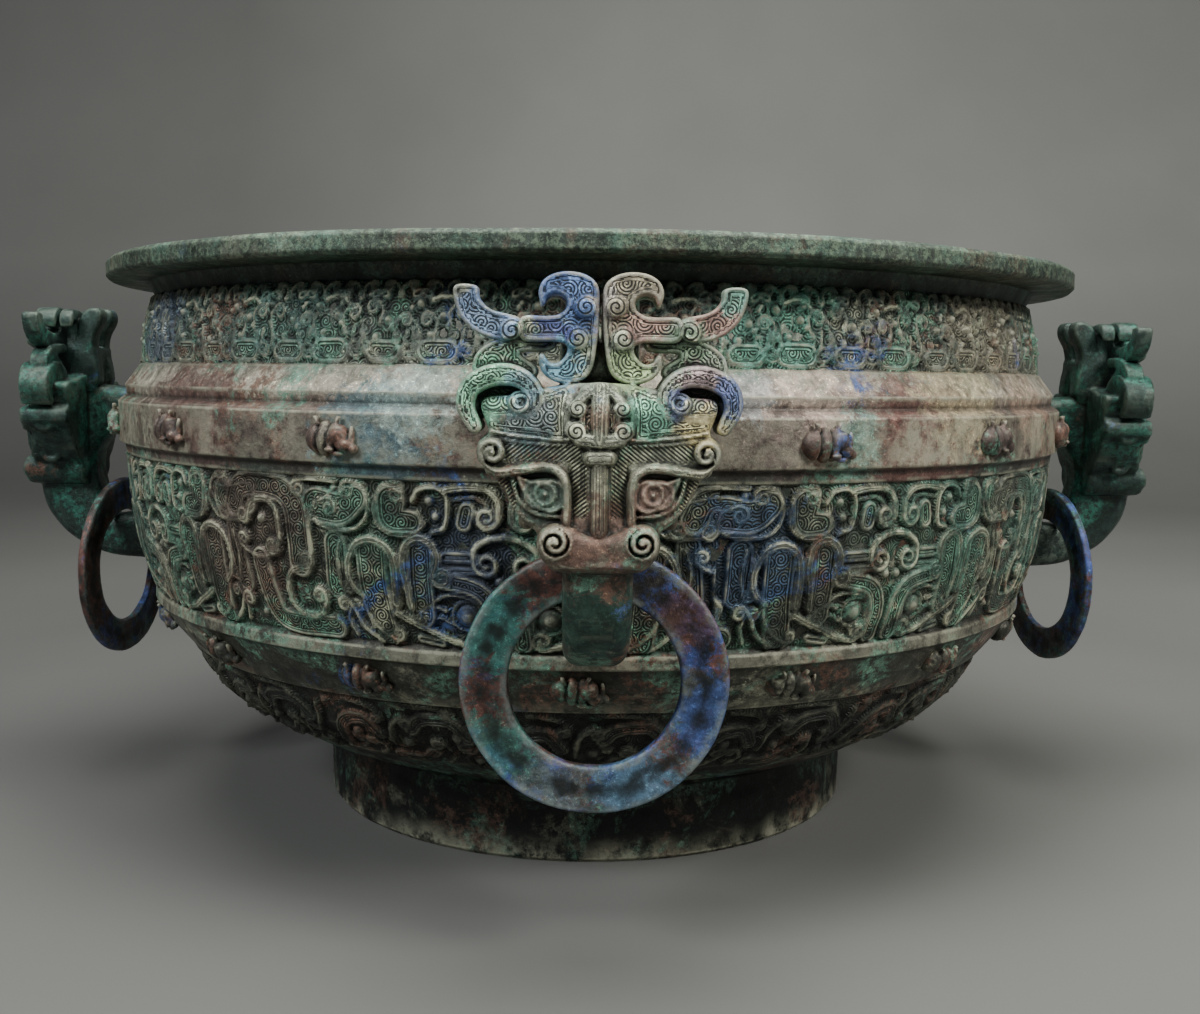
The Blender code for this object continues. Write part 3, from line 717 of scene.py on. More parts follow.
@dataclass
class ReliefBand:
    """A band of cast relief that runs round the vessel."""

    name: str
    span: Point
    cell: float
    canvas: Canvas
    middles: tuple[float, ...]
    scale: float
    finish: Material
    pieces: int = 1
    tuck: float = 1.6
    seed: int = 11

    def places(self, across: Grid) -> Grid:
        """Return how many millimetres of drawing each turn in degrees is from its figure's middle.

        Args:
            across: the turns.

        Returns:
            The distances to the right, in millimetres of drawing.
        """
        offsets = [np.mod(across - middle + 180.0, 360.0) - 180.0 for middle in self.middles]
        stacked = np.stack(offsets)
        pick = np.argmin(np.abs(stacked), axis=0)
        return np.take_along_axis(stacked, pick[None], axis=0)[0] * self.scale

    def build(self) -> list[Object]:
        """Wrap the drawing round the wall as one or more sheets.

        Returns:
            The sheets.
        """
        low, high = self.span
        middle_radius = float(LINE.radius((low + high) / 2.0))
        columns = int(TURN * middle_radius / (self.cell * MM) / self.pieces) * self.pieces
        line = np.asarray([point for point in LINE.outside() if low <= point[1] <= high])
        ends = np.array([[float(LINE.radius(low)), low], [float(LINE.radius(high)), high]])
        line = np.vstack([ends[:1], line, ends[1:]])
        length = np.concatenate([[0.0], np.cumsum(np.hypot(*np.diff(line, axis=0).T))])
        rows = int(length[-1] / (self.cell * MM)) + 1
        along = np.linspace(0.0, length[-1], rows)
        radius = np.interp(along, length, line[:, 0])
        height = np.interp(along, length, line[:, 1])
        slope_r, slope_z = blurred(np.gradient(radius), 5), blurred(np.gradient(height), 5)
        size = np.hypot(slope_r, slope_z)
        out_r, out_z = slope_z / size, -slope_r / size
        share, level = np.meshgrid(np.arange(columns) / columns, along / length[-1])
        tall = self.canvas.top - self.canvas.foot
        u = self.places(share * 360.0)
        v = self.canvas.foot + level * tall
        u = u + 0.55 * drift(share, level, (67, 3), self.seed)
        v = v + 0.45 * drift(share, level, (61, 2), self.seed + 1) * np.sin(math.pi * level)
        lift, plate, edge = self.canvas.read(u, v)
        lift = lift * (0.93 + 0.10 * drift(share, level, (83, 4), self.seed + 2))
        grain = drift(share, level, (columns // 3, rows // 3), self.seed + 3)
        lift = lift + 0.07 * grain + 0.10 * drift(share, level, (columns // 9, rows // 8), self.seed + 4)
        cavity = np.clip((lift - blurred(lift, max(2, int(2.1 / self.cell)), 1)) / 0.9, -1.0, 1.0)
        border = np.minimum(level, 1.0 - level) * length[-1] / MM
        lift = lift * spread(0.0, 0.7, border) - self.tuck * (1.0 - spread(0.0, 0.5, border))
        angle = TURN * share
        reach = radius[:, None] + lift * MM * out_r[:, None]
        points = np.stack([reach * np.sin(angle), -reach * np.cos(angle),
                           height[:, None] + lift * MM * out_z[:, None]], axis=-1)
        arc = share * TURN * middle_radius / MM
        made = []
        width = columns // self.pieces
        for part in range(self.pieces):
            pick = np.arange(part * width, (part + 1) * width + 1)
            taken = pick % columns
            mesh = quads_mesh(self.name, points[:, taken].reshape(-1, 3),
                              sheet_quads(rows, len(pick), False))
            flat_arc = arc[:, taken] + np.where(pick >= columns, arc[0, -1] + arc[0, 1], 0.0)
            lay_flat(mesh, flat_arc, v[:, taken])
            mark(mesh, "plate", plate[:, taken])
            mark(mesh, "edge", edge[:, taken])
            mark(mesh, "cavity", cavity[:, taken])
            made.append(placed(f"{self.name}_{part + 1}", mesh, self.finish))
        return made


def ring_route(centre: Point, radius: float) -> tuple[Point, ...]:
    """Return a drawn circle as a route that meets itself."""
    turns = [TURN * step / 10 for step in range(11)]
    return tuple((centre[0] + radius * math.cos(a), centre[1] + radius * math.sin(a)) for a in turns)


def both_sides(strokes: Sequence[Stroke]) -> list[Stroke]:
    """Return strokes and their mirror images."""
    return [*strokes, *(stroke.mirrored() for stroke in strokes)]


@dataclass(frozen=True)
class Figures:
    """The drawing of a band that runs round the vessel, in units of one pitch."""

    pitch: float
    tall: float
    ground: float = 0.8

    def strokes(self) -> list[Stroke]:
        """Draw one unit."""
        return []

    def canvas(self, cell: float) -> Canvas:
        """Draw one unit with its neighbours' ends.

        Args:
            cell: the distance between two samples.

        Returns:
            The drawing.
        """
        drawing = Canvas(-self.pitch / 2.0, self.pitch / 2.0, 0.0, self.tall, cell, self.ground)
        for side in (-1.0, 0.0, 1.0):
            for stroke in self.strokes():
                drawing.draw(stroke.moved(side * self.pitch))
        return drawing


@dataclass(frozen=True)
class MainFigures(Figures):
    """The widest band: a beast mask, and the scrolls between two masks."""

    pitch: float = 167.0
    tall: float = 58.0
    ground: float = 0.7

    def half_mask(self) -> list[Stroke]:
        """Draw the right half of the mask, from its middle line outwards."""
        return [
            ribbon(4.6, 1.1, ((9, 32), (20.5, 32))),
            ribbon(3.4, 1, ((9.6, 27.6), (20, 27.6))),
            ribbon(7.6, 1.7, ((4.4, 3), (4.6, 14), (9.5, 21.4), (22.5, 24.4)), tip=6.4),
            wire(1.7, 2.2, ((8.6, 6), (8.8, 15.4), (12.5, 18.4), (20, 19.4), (25, 17.6))),
            button(8.6, 2.5, ((14.2, 12.2),)),
            wire(1.3, 1.7, ring_route((14.2, 12.2), 5.3)),
            grooved(3.4, 2.4, ((39, 12.5), (33.5, 9.6), (27, 6.8), (20, 3.4), (12, 1.4)),
                tip=2.8, tail=-3.6),
            wire(3, 2.6, ((0.2, 39.6), (5, 38.8), (9.6, 35.6), (10.6, 31.4)), tip=2.2, tail=-4.4),
            button(4, 1.9, ((2.6, 25),)),
            button(3.2, 1.8, ((7.4, 27),)),
            ribbon(9.4, 1.4, ((29.4, 34), (29.6, 24), (29.6, 12))),
            grooved(4.2, 2.6, ((24.9, 26.5), (23.4, 31.8), (25.4, 36.4), (30, 38.4), (34.2, 35.6),
                (35.6, 29.5), (34.6, 22.5), (33.8, 15)), tip=3.4, head=3),
            wire(2, 1.8, ((21.5, 14), (27, 15.4), (31.6, 12.4)), tail=-2.2),
            ribbon(12.4, 1.5, ((46.8, 33), (46.4, 20), (44.6, 4)), tip=11),
            grooved(3.9, 2.6, ((38.7, 16), (38.7, 28), (40.6, 34.4), (46.2, 37.3), (52.6, 35),
                (55.9, 28), (54.6, 21.6), (50.6, 17.4)), tip=3.2),
            wire(2.8, 2.3, ((51, 15.8), (49.6, 10.2), (45.6, 5.2), (41.2, 2.6)), tip=2, tail=-2.6),
            grooved(3.4, 2.4, ((19.5, 54.6), (12.5, 55.8), (6, 54.9), (2.5, 51), (2.1, 45.8)),
                tip=2.6, tail=3.8),
            wire(1.5, 1.5, ((17, 51.2), (10.5, 52), (6.4, 50))),
            ribbon(6.4, 1.2, ((12.5, 47.6), (13.4, 43.4))),
            wire(2.6, 2.3, ((31, 50.6), (28.4, 54.6), (22.8, 55.4), (19.4, 52), (19.2, 46), (20.6, 41.6),
                (25, 40.2)), tip=2.2),
            button(3.8, 2.3, ((25.4, 50.6),)),
            button(3.6, 2.2, ((23.4, 45.4),)),
            ribbon(11.4, 1.5, ((38.6, 50.6), (38.2, 44.4), (32, 43.6)), tip=8.6),
            wire(1.9, 2.4, ((29.6, 47), (27.4, 43), (31.4, 39.6), (38, 39), (43.6, 42.2), (44.7, 49),
                (42.4, 55), (38, 56.6)), tail=3.7),
            ribbon(13.2, 1.5, ((67, 47.6), (58, 46.6), (52.6, 50.4)), tip=11),
            wire(1.9, 2.4, ((70.5, 46), (67, 41.2), (60, 40), (53, 40.2), (48.2, 44), (47.2, 50),
                (49.8, 55.2), (54, 56.5)), tail=-3.4),
            button(3.4, 2.2, ((60.5, 53.6),)),
            wire(2.2, 2, ((58.8, 36), (60.4, 28), (59, 20)), tail=-2.5),
            wire(2.2, 2, ((57, 3), (58.6, 9), (56.4, 14.6)), tail=2.4),
            wire(1.6, 1.5, ((19.6, 9.2), (24, 11.4), (28.6, 9.8))),
            ribbon(4, 1.1, ((31.5, 3.4), (24, 2))),
        ]

    def scrolls(self) -> list[Stroke]:
        """Draw the scrolls around the middle of a gap; they all turn one way."""
        return [
            ribbon(10.6, 1.6, ((-22.5, 46), (-19, 52), (-10, 53.6), (1, 52.2), (6.6, 46.5), (7.6, 37),
                (7.4, 27))),
            wire(2.6, 2.3, ((-27, 56.2), (-32, 52), (-32.4, 45.5), (-30, 41.4)), tip=2.2, tail=2.9),
            wire(2.4, 2.4, ((24, 56.2), (15, 57), (8.6, 56.2)), tail=3.2),
            grooved(3.6, 2.5, ((-15.6, 41.5), (-13.4, 46.6), (-7, 48.6), (-1.6, 45.4), (-0.6, 37),
                (-2, 31.5)), tip=3, head=2.2, tail=-2.8),
            button(4.2, 2.2, ((-9.5, 41.4),)),
            wire(2.4, 2.2, ((-4, 29.6), (-10, 28.2), (-16, 28.8), (-20.6, 31.4)), tail=-2.7),
            wire(2.3, 2.3, ((12.6, 27.5), (12.9, 40), (14.8, 47.5), (20, 50)), tail=-3.2),
            ribbon(9.6, 1.5, ((-11.5, 27), (-9.4, 14), (-4, 5.4), (18, 5))),
            grooved(3.3, 2.5, ((10.4, 26), (4, 24.6), (0.2, 19.6), (1, 12.6), (6.6, 8.4), (13.6, 9.6),
                (16.4, 15)), tip=2.8, head=-2.4, tail=2.9),
            wire(3, 2.4, ((37, 1.8), (31, 6), (28.4, 12), (26.4, 15.6)), tip=2.2, tail=2.8),
            wire(2.8, 2.3, ((-34, 2), (-28.6, 7), (-25, 13)), tip=2.2, tail=-2.8),
            ribbon(10, 1, ((22.6, 35), (22, 20))),
            ribbon(9.4, 1, ((-24, 37.5), (-22.6, 18))),
            button(3.2, 2, ((21, 6),)),
            button(3.6, 2, ((-15.6, 7),)),
        ]

    def canvas(self, cell: float) -> Canvas:
        """Draw one mask with the scrolls on both sides of it.

        Args:
            cell: the distance between two samples.

        Returns:
            The drawing.
        """
        drawing = Canvas(-self.pitch / 2.0, self.pitch / 2.0, 0.0, self.tall, cell, self.ground)
        for stroke in both_sides(self.half_mask()):
            drawing.draw(stroke)
        for side in (-0.5, 0.5):
            for stroke in self.scrolls():
                drawing.draw(stroke.moved(side * self.pitch))
        return drawing


@dataclass(frozen=True)
class NeckFigures(Figures):
    """The crowded band of the neck: lobes at its foot, curls, studs and small hooks."""

    pitch: float = 80.4
    tall: float = 29.5

    def strokes(self) -> list[Stroke]:
        """Draw one unit."""
        made: list[Stroke] = []
        for right, half, deep in ((-31, 6.4, 10.5), (-12.5, 7.2, 11.5), (8, 6.2, 10), (27.5, 7, 11)):
            made += [
                ribbon(half * 1.2, 1, ((right - half * 0.5, 5.2), (right + half * 0.5, 5.2))),
                wire(1, 1.6, ((right - half * 0.95, deep - 1), (right - half * 0.6, 4.8), (right, 3.4),
                              (right + half * 0.6, 4.8), (right + half * 0.95, deep - 1)),
                     head=-1.6, tail=1.6),
                button(3.2, 2.5, ((right - half * 0.42, deep - 0.6),)),
                button(3, 2.4, ((right + half * 0.5, deep + 2.4),)),
                wire(1.4, 1.7, ((right - half - 2.2, deep + 1.5), (right - half * 0.95, 2.8), (right, 0.9),
                                (right + half * 0.95, 2.8), (right + half + 2.2, deep + 1.5))),
            ]
        for right, radius, up in ((-21.8, 3.1, 5), (-2.2, 3, 5.4), (17.6, 3.3, 4.8), (37.6, 2.8, 5.2)):
            route = ((right + 1.5, 14.5), (right + 3.6, 10), (right + 2.6, up))
            made.append(wire(1.4, 1.8, route, tail=-radius))
        for spot in ((-29.8, 15.2), (-11, 16.4), (9.6, 14.8), (28.8, 16.4), (-19.5, 19.6), (20.6, 20.4)):
            made += [button(4, 2.9, (spot,)), wire(0.9, 1.2, ring_route(spot, 3))]
        for right, up, size in ((-36.5, 18, 2.9), (-24, 15, -2.8), (-4.2, 17.6, 3), (3.6, 19, -2.8),
                                (15.6, 14.6, 2.6), (23.4, 15, -2.7), (35, 18.4, 3)):
            made += [
                wire(1.5, 2, ((right - size, up - 5.5), (right - size * 1.3, up - 1),
                              (right - size * 0.8, up + 1.6)), tail=-size),
                button(2.5, 2.2, ((right + size * 0.7, up + 4.4),)),
            ]
        for number, right in enumerate((-37, -29, -21, -13.5, -6, 2, 9.5, 17, 25, 33)):
            hand = 1.0 if number % 2 else -1.0
            made += [
                wire(1.5, 1.9, ((right - 3 * hand, 22.6), (right - 2.8 * hand, 26.4), (right, 27.9)),
                     tail=-2 * hand),
                button(2.3, 2, ((right + 4.2 * hand, 20.8),)),
                ribbon(3.8, 1.1, ((right + 1.6 * hand, 23.4), (right + 3.6 * hand, 24.4))),
            ]
        return [*made, grooved(2.6, 2.1, ((-16.6, 22), (-11, 23.4), (-6.8, 20.8))),
                grooved(2.6, 2.1, ((24.6, 21.6), (30, 23), (34, 21)))]


@dataclass(frozen=True)
class LowerFigures(Figures):
    """The band under the belly: scrolls round studs."""

    pitch: float = 70.0
    tall: float = 35.5

    def strokes(self) -> list[Stroke]:
        """Draw one unit."""
        return [
            ribbon(6.4, 1.6, ((-31, 9), (-26, 21), (-16, 24), (-11, 17))),
            ribbon(6.4, 1.6, ((4, 22), (9, 27), (20, 27.4), (26, 20))),
            ribbon(6, 1.5, ((-8, 4.6), (3, 4), (10, 10))),
            wire(2.6, 2.3, ((-34, 4), (-26, 5), (-20, 10)), tail=3.4),
            wire(2.6, 2.3, ((33, 28), (31, 20), (27, 13)), tail=-3.6),
            wire(2.6, 2.3, ((-6, 12), (-5, 21), (-1, 26.6)), tail=-3.2),
            wire(2.6, 2.3, ((14, 3), (18, 9), (16, 16)), tail=3.2),
            grooved(3, 2.3, ((-17, 3.4), (-12, 8), (-14, 13)), tail=2.4),
            button(5.4, 2.8, ((-21, 17),)),
            button(5.6, 2.8, ((0.5, 14),)),
            button(4.8, 2.6, ((21.5, 19),)),
            button(5.6, 2.8, ((27, 6),)),
            wire(1.5, 1.7, ring_route((27, 6), 5)),
            wire(1.4, 1.7, ring_route((-21, 17), 4.6)),
            button(4.4, 2.4, ((-32, 30),)),
            wire(2.2, 2.1, ((-22, 33), (-12, 31), (-8, 27)), tail=-2.4),
            wire(2, 2, ((2, 33.6), (12, 33.4), (20, 32)), tail=-2.2),
        ]


def rounded(first: Grid, second: Grid, radius: float) -> Grid:
    """Return the distance from where two shapes overlap, with the edge between them rounded."""
    outer = np.hypot(np.maximum(first + radius, 0.0), np.maximum(second + radius, 0.0))
    return np.minimum(np.maximum(first, second) + radius, 0.0) + outer - radius


def soft_min(first: Grid, second: Grid, reach: float) -> Grid:
    """Return the smaller of two distances, melted together where they are within reach."""
    share = np.clip(0.5 + 0.5 * (second - first) / reach, 0.0, 1.0)
    return second * (1.0 - share) + first * share - reach * share * (1.0 - share)


class Clay:
    """A block of space that shapes are pressed into: distances in millimetres, below zero inside."""

    def __init__(self, low: Point3, high: Point3, cell: float) -> None:
        """Lay out the block.

        Args:
            low: the corner with the smallest coordinates.
            high: the corner with the largest coordinates.
            cell: the distance between two samples.
        """
        self.low = np.asarray(low, np.float32)
        self.cell = cell
        axes = [np.arange(start, end, cell, dtype=np.float32) for start, end in zip(low, high)]
        self.x = axes[0][:, None, None]
        self.y = axes[1][None, :, None]
        self.z = axes[2][None, None, :]
        self.field = np.full([len(axis) for axis in axes], 40.0, np.float32)

    def add(self, shape: Grid, melt: float = 0.6) -> None:
        """Join a shape to the clay."""
        self.field = soft_min(self.field, shape.astype(np.float32), melt)

    def cut(self, shape: Grid, melt: float = 0.5) -> None:
        """Take a shape away from the clay."""
        self.field = -soft_min(-self.field, shape.astype(np.float32), melt)

    def plate(self, flat: Grid, back: Grid | float, front: Grid | float, radius: float = 0.6) -> Grid:
        """Return a plate between two depths along x.

        Args:
            flat: its outline's distance for each y and z.
            back: the depth of its back, one number or one for each y and z.
            front: the depth of its front in the same way.
            radius: how far its edges are rounded.

        Returns:
            The distance from the plate.
        """
        middle = (np.asarray(back) + front) / 2.0
        half = (np.asarray(front) - back) / 2.0
        return rounded(np.asarray(flat)[None], np.abs(self.x - middle) - half, radius)

    def ball(self, centre: Point3, size: Point3, twice: bool = False) -> Grid:
        """Return an ellipsoid from its centre and half sizes, or one on each side of the middle.

        Args:
            centre: its centre.
            size: its half sizes.
            twice: whether the other side has one as well.

        Returns:
            The distance from it.
        """
        side = np.abs(self.y) if twice else self.y
        parts = [(self.x - centre[0]) / size[0], (side - centre[1]) / size[1], (self.z - centre[2]) / size[2]]
        away = np.sqrt(parts[0] ** 2 + parts[1] ** 2 + parts[2] ** 2)
        return (away - 1.0) * min(size)

    def surface(self) -> tuple[Grid, Grid]:
        """Wrap the clay in a skin of four-cornered faces.

        Returns:
            The points in millimetres and the faces, which look outwards.
        """
        inside = self.field < 0.0
        shape = np.asarray(self.field.shape) - 1
        total = np.zeros((int(np.prod(shape)), 3))
        count = np.zeros(int(np.prod(shape)))
        corners = []
        for axis in range(3):
            start = np.moveaxis(self.field, axis, 0)[:-1]
            end = np.moveaxis(self.field, axis, 0)[1:]
            flips = np.argwhere((start < 0.0) != (end < 0.0))
            first, last = start[tuple(flips.T)], end[tuple(flips.T)]
            share = first / (first - last)
            order = [axis, *(number for number in range(3) if number != axis)]
            spots = np.empty_like(flips)
            spots[:, order] = flips
            point = spots.astype(float)
            point[:, axis] += share
            side, over = (axis + 1) % 3, (axis + 2) % 3
            ring = []
            sound = np.ones(len(spots), bool)
            for step_side, step_over in ((1, 1), (0, 1), (0, 0), (1, 0)):
                cells = spots.copy()
                cells[:, side] -= step_side
                cells[:, over] -= step_over
                good = (cells >= 0).all(axis=1) & (cells < shape).all(axis=1)
                index = np.ravel_multi_index(np.clip(cells, 0, shape - 1).T, shape)
                for part in range(3):
                    total[:, part] += np.bincount(index[good], point[good, part], len(count))
                count += np.bincount(index[good], minlength=len(count))
                ring.append(index)
                sound &= good
            faces = np.stack(ring, axis=1)
            faces = np.where(inside[tuple(spots.T)][:, None], faces, faces[:, ::-1])
            corners.append(faces[sound])
        quads = np.vstack(corners)
        used = np.flatnonzero(count)
        number = np.zeros(len(count), int)
        number[used] = np.arange(len(used))
        points = total[used] / count[used, None] * self.cell + self.low
        return points, number[quads]

    def crowding(self, reach: int) -> Grid:
        """Return how much metal is near each sample: half on a flat face, less on edges."""
        return blurred(np.clip(0.5 - self.field / self.cell, 0.0, 1.0), reach, passes=1)

    def sample(self, values: Grid, points: Grid) -> Grid:
        """Read values at the samples nearest to some points.

        Args:
            values: one for each sample, or one for each y and z.
            points: the points in millimetres, one a row.

        Returns:
            One value a point.
        """
        first = 3 - values.ndim
        spots = np.rint((points[:, first:] - self.low[first:]) / self.cell).astype(int)
        return values[tuple(np.clip(spots, 0, np.asarray(values.shape) - 1).T)]

    def mesh(self, name: str, faces: int, keep: Grid | None = None) -> Mesh:
        """Turn the clay into a mesh in metres.

        Args:
            name: the mesh's name.
            faces: about how many triangles it may have.
            keep: a map over y and z, 1 where the front keeps its finest points.

        Returns:
            The mesh, with smooth shading.
        """
        points, quads = self.surface()
        whole = quads_mesh(name, points * MM, quads)
        share = faces / (2.0 * len(quads))
        if share >= 1.0:
            return whole
        holder = linked(name, whole)
        thin = holder.modifiers.new("thin", "DECIMATE")
        thin.ratio = share
        thin.use_collapse_triangulate = True
        if keep is not None:
            free = (self.sample(keep, points) < 0.3) | (points[:, 0] < FRONT_DEPTH)
            group = holder.vertex_groups.new(name="free")
            group.add([int(spot) for spot in np.flatnonzero(free)], 1.0, "REPLACE")
            thin.vertex_group = group.name
            thin.vertex_group_factor = 0.5
        return settled(holder)


@dataclass(frozen=True)
class HandleSizes:
    """Where a handle's parts lie, in millimetres from the axis, from the ground or over the chin."""

    inside: float = 239.2
    outside: float = 266.6
    bottom: float = 105.9
    seat: float = 127.4
    chin: float = 142.0
    arm_top: float = 189.5
    arm_foot: float = 168.0
    half_loop: float = 10.2
    face_back: float = 241.4
    face_front: float = 268.6
    sweep: float = 0.21
    crest_front: float = 263.2
    crest_step: float = 252.6
    finger_back: float = 244.4
    horn_front: float = 258.3
    horn_back: float = 250.6
    c_horn_front: float = 261.6
    c_horn_back: float = 247.4
    reach: float = 273.2


SIZES = HandleSizes()


@dataclass(frozen=True)
class HeadDrawing:
    """The beast's head drawn flat from the front: right and up from the chin, the right half only."""

    face: tuple[Point, ...] = (
        (0, 53.6), (8, 53), (15.8, 51.8), (23, 49.8), (31.5, 49.2), (33.6, 47), (32.6, 43),
        (31.4, 39.2), (34.4, 36.2), (34.6, 31.6), (30.6, 28), (26.6, 21), (21.6, 14.4), (17.4, 10.8),
        (17, 6.6), (14.8, 2.8), (11, 0.5), (0, 0.2),
    )
    muzzle: tuple[Point, ...] = (
        (-6, 11.2), (0, 11), (4, 11.4), (8, 13.4), (12.3, 14.2), (15.8, 12.6), (17.4, 9.2),
        (16.8, 5.6), (14.6, 2.4), (11, 0.4), (0, 0.2), (-6, 0.2),
    )
    forehead: tuple[Point, ...] = (
        (8.6, 51.6), (15, 50.8), (22, 49.2), (31, 48.6), (32.6, 46.4), (31.6, 42.6), (30.4, 39.8),
        (20, 38.4), (8.6, 38.2),
    )
    scoop: tuple[Point, ...] = (
        (35.4, 45.4), (35.2, 50.4), (31, 53.6), (24.6, 54), (19.4, 51.4), (18, 44), (33, 43),
    )
    crest: tuple[Point, ...] = (
        (16.7, 75.2), (17.6, 78.4), (16.4, 81.6), (13.4, 83.6), (9.3, 84.3), (5.1, 83.7), (1.9, 81.8),
        (0.6, 79), (0.5, 72), (1, 65), (2, 58.4), (3.8, 55), (7, 53.2), (10.6, 53), (14.4, 54.4),
        (16.8, 57), (17.4, 60.6), (16.2, 61.4), (14.6, 59.2), (12.2, 58.8), (10, 60.8), (9.4, 63.4),
        (12.3, 64.8), (22, 65.2), (22.4, 71.4), (15.8, 71.9), (12.4, 72.2), (10, 73.8), (9.5, 76),
        (10.9, 77.6), (13.4, 78), (15.2, 77), (15.9, 75),
    )
    hook: tuple[Point, ...] = (
        (17, 74.6), (17.6, 79), (15.4, 82.6), (10, 83.4), (4.4, 82.6), (1.2, 79), (1.2, 60),
        (10.4, 60), (10, 72), (10.8, 76.8), (14.6, 77.4),
    )
    horn: tuple[Point, ...] = (
        (41.6, 80), (35.2, 80.3), (34.4, 76.8), (30.8, 73.6), (23.6, 71.8), (21.9, 69.4), (23.2, 66.2),
        (27, 65), (32, 65.8), (36.6, 68.2), (40.4, 72.8),
    )
    web: tuple[Point, ...] = (
        (13, 66.6), (24, 66.6), (31.6, 64.4), (36, 60), (34.6, 55), (20, 54.4), (17.8, 57.4),
        (22.6, 61.6), (14, 62.4),
    )
    c_horn: tuple[Point, ...] = (
        (35.4, 40.8), (38, 46.4), (36.6, 51.8), (31, 55), (24.4, 55.2), (19.7, 52.4), (18.2, 48.4),
        (20.4, 45.2), (23.4, 45.3), (24.6, 47.6),
    )
    nostril: Point = (12.3, 8.9)
    nostril_pitch: float = 2.3
    cheek_coil: Point = (30.2, 33.6)
    horn_disc: Point = (22.6, 47.7)
    disc_radius: float = 3.3
    eye: Point = (15.2, 22.2)
    coils: tuple[tuple[float, float, float, float], ...] = (
        (4.2, 74.4, 3, 1.5), (6.4, 65.6, 3.2, 1.55), (25.2, 67.8, 3.3, 1.6), (22.6, 47.7, 3.1, 1.5),
        (6.2, 46.2, 2.5, 1.4), (6.5, 39.9, 2.8, 1.5),
    )


HEAD = HeadDrawing()


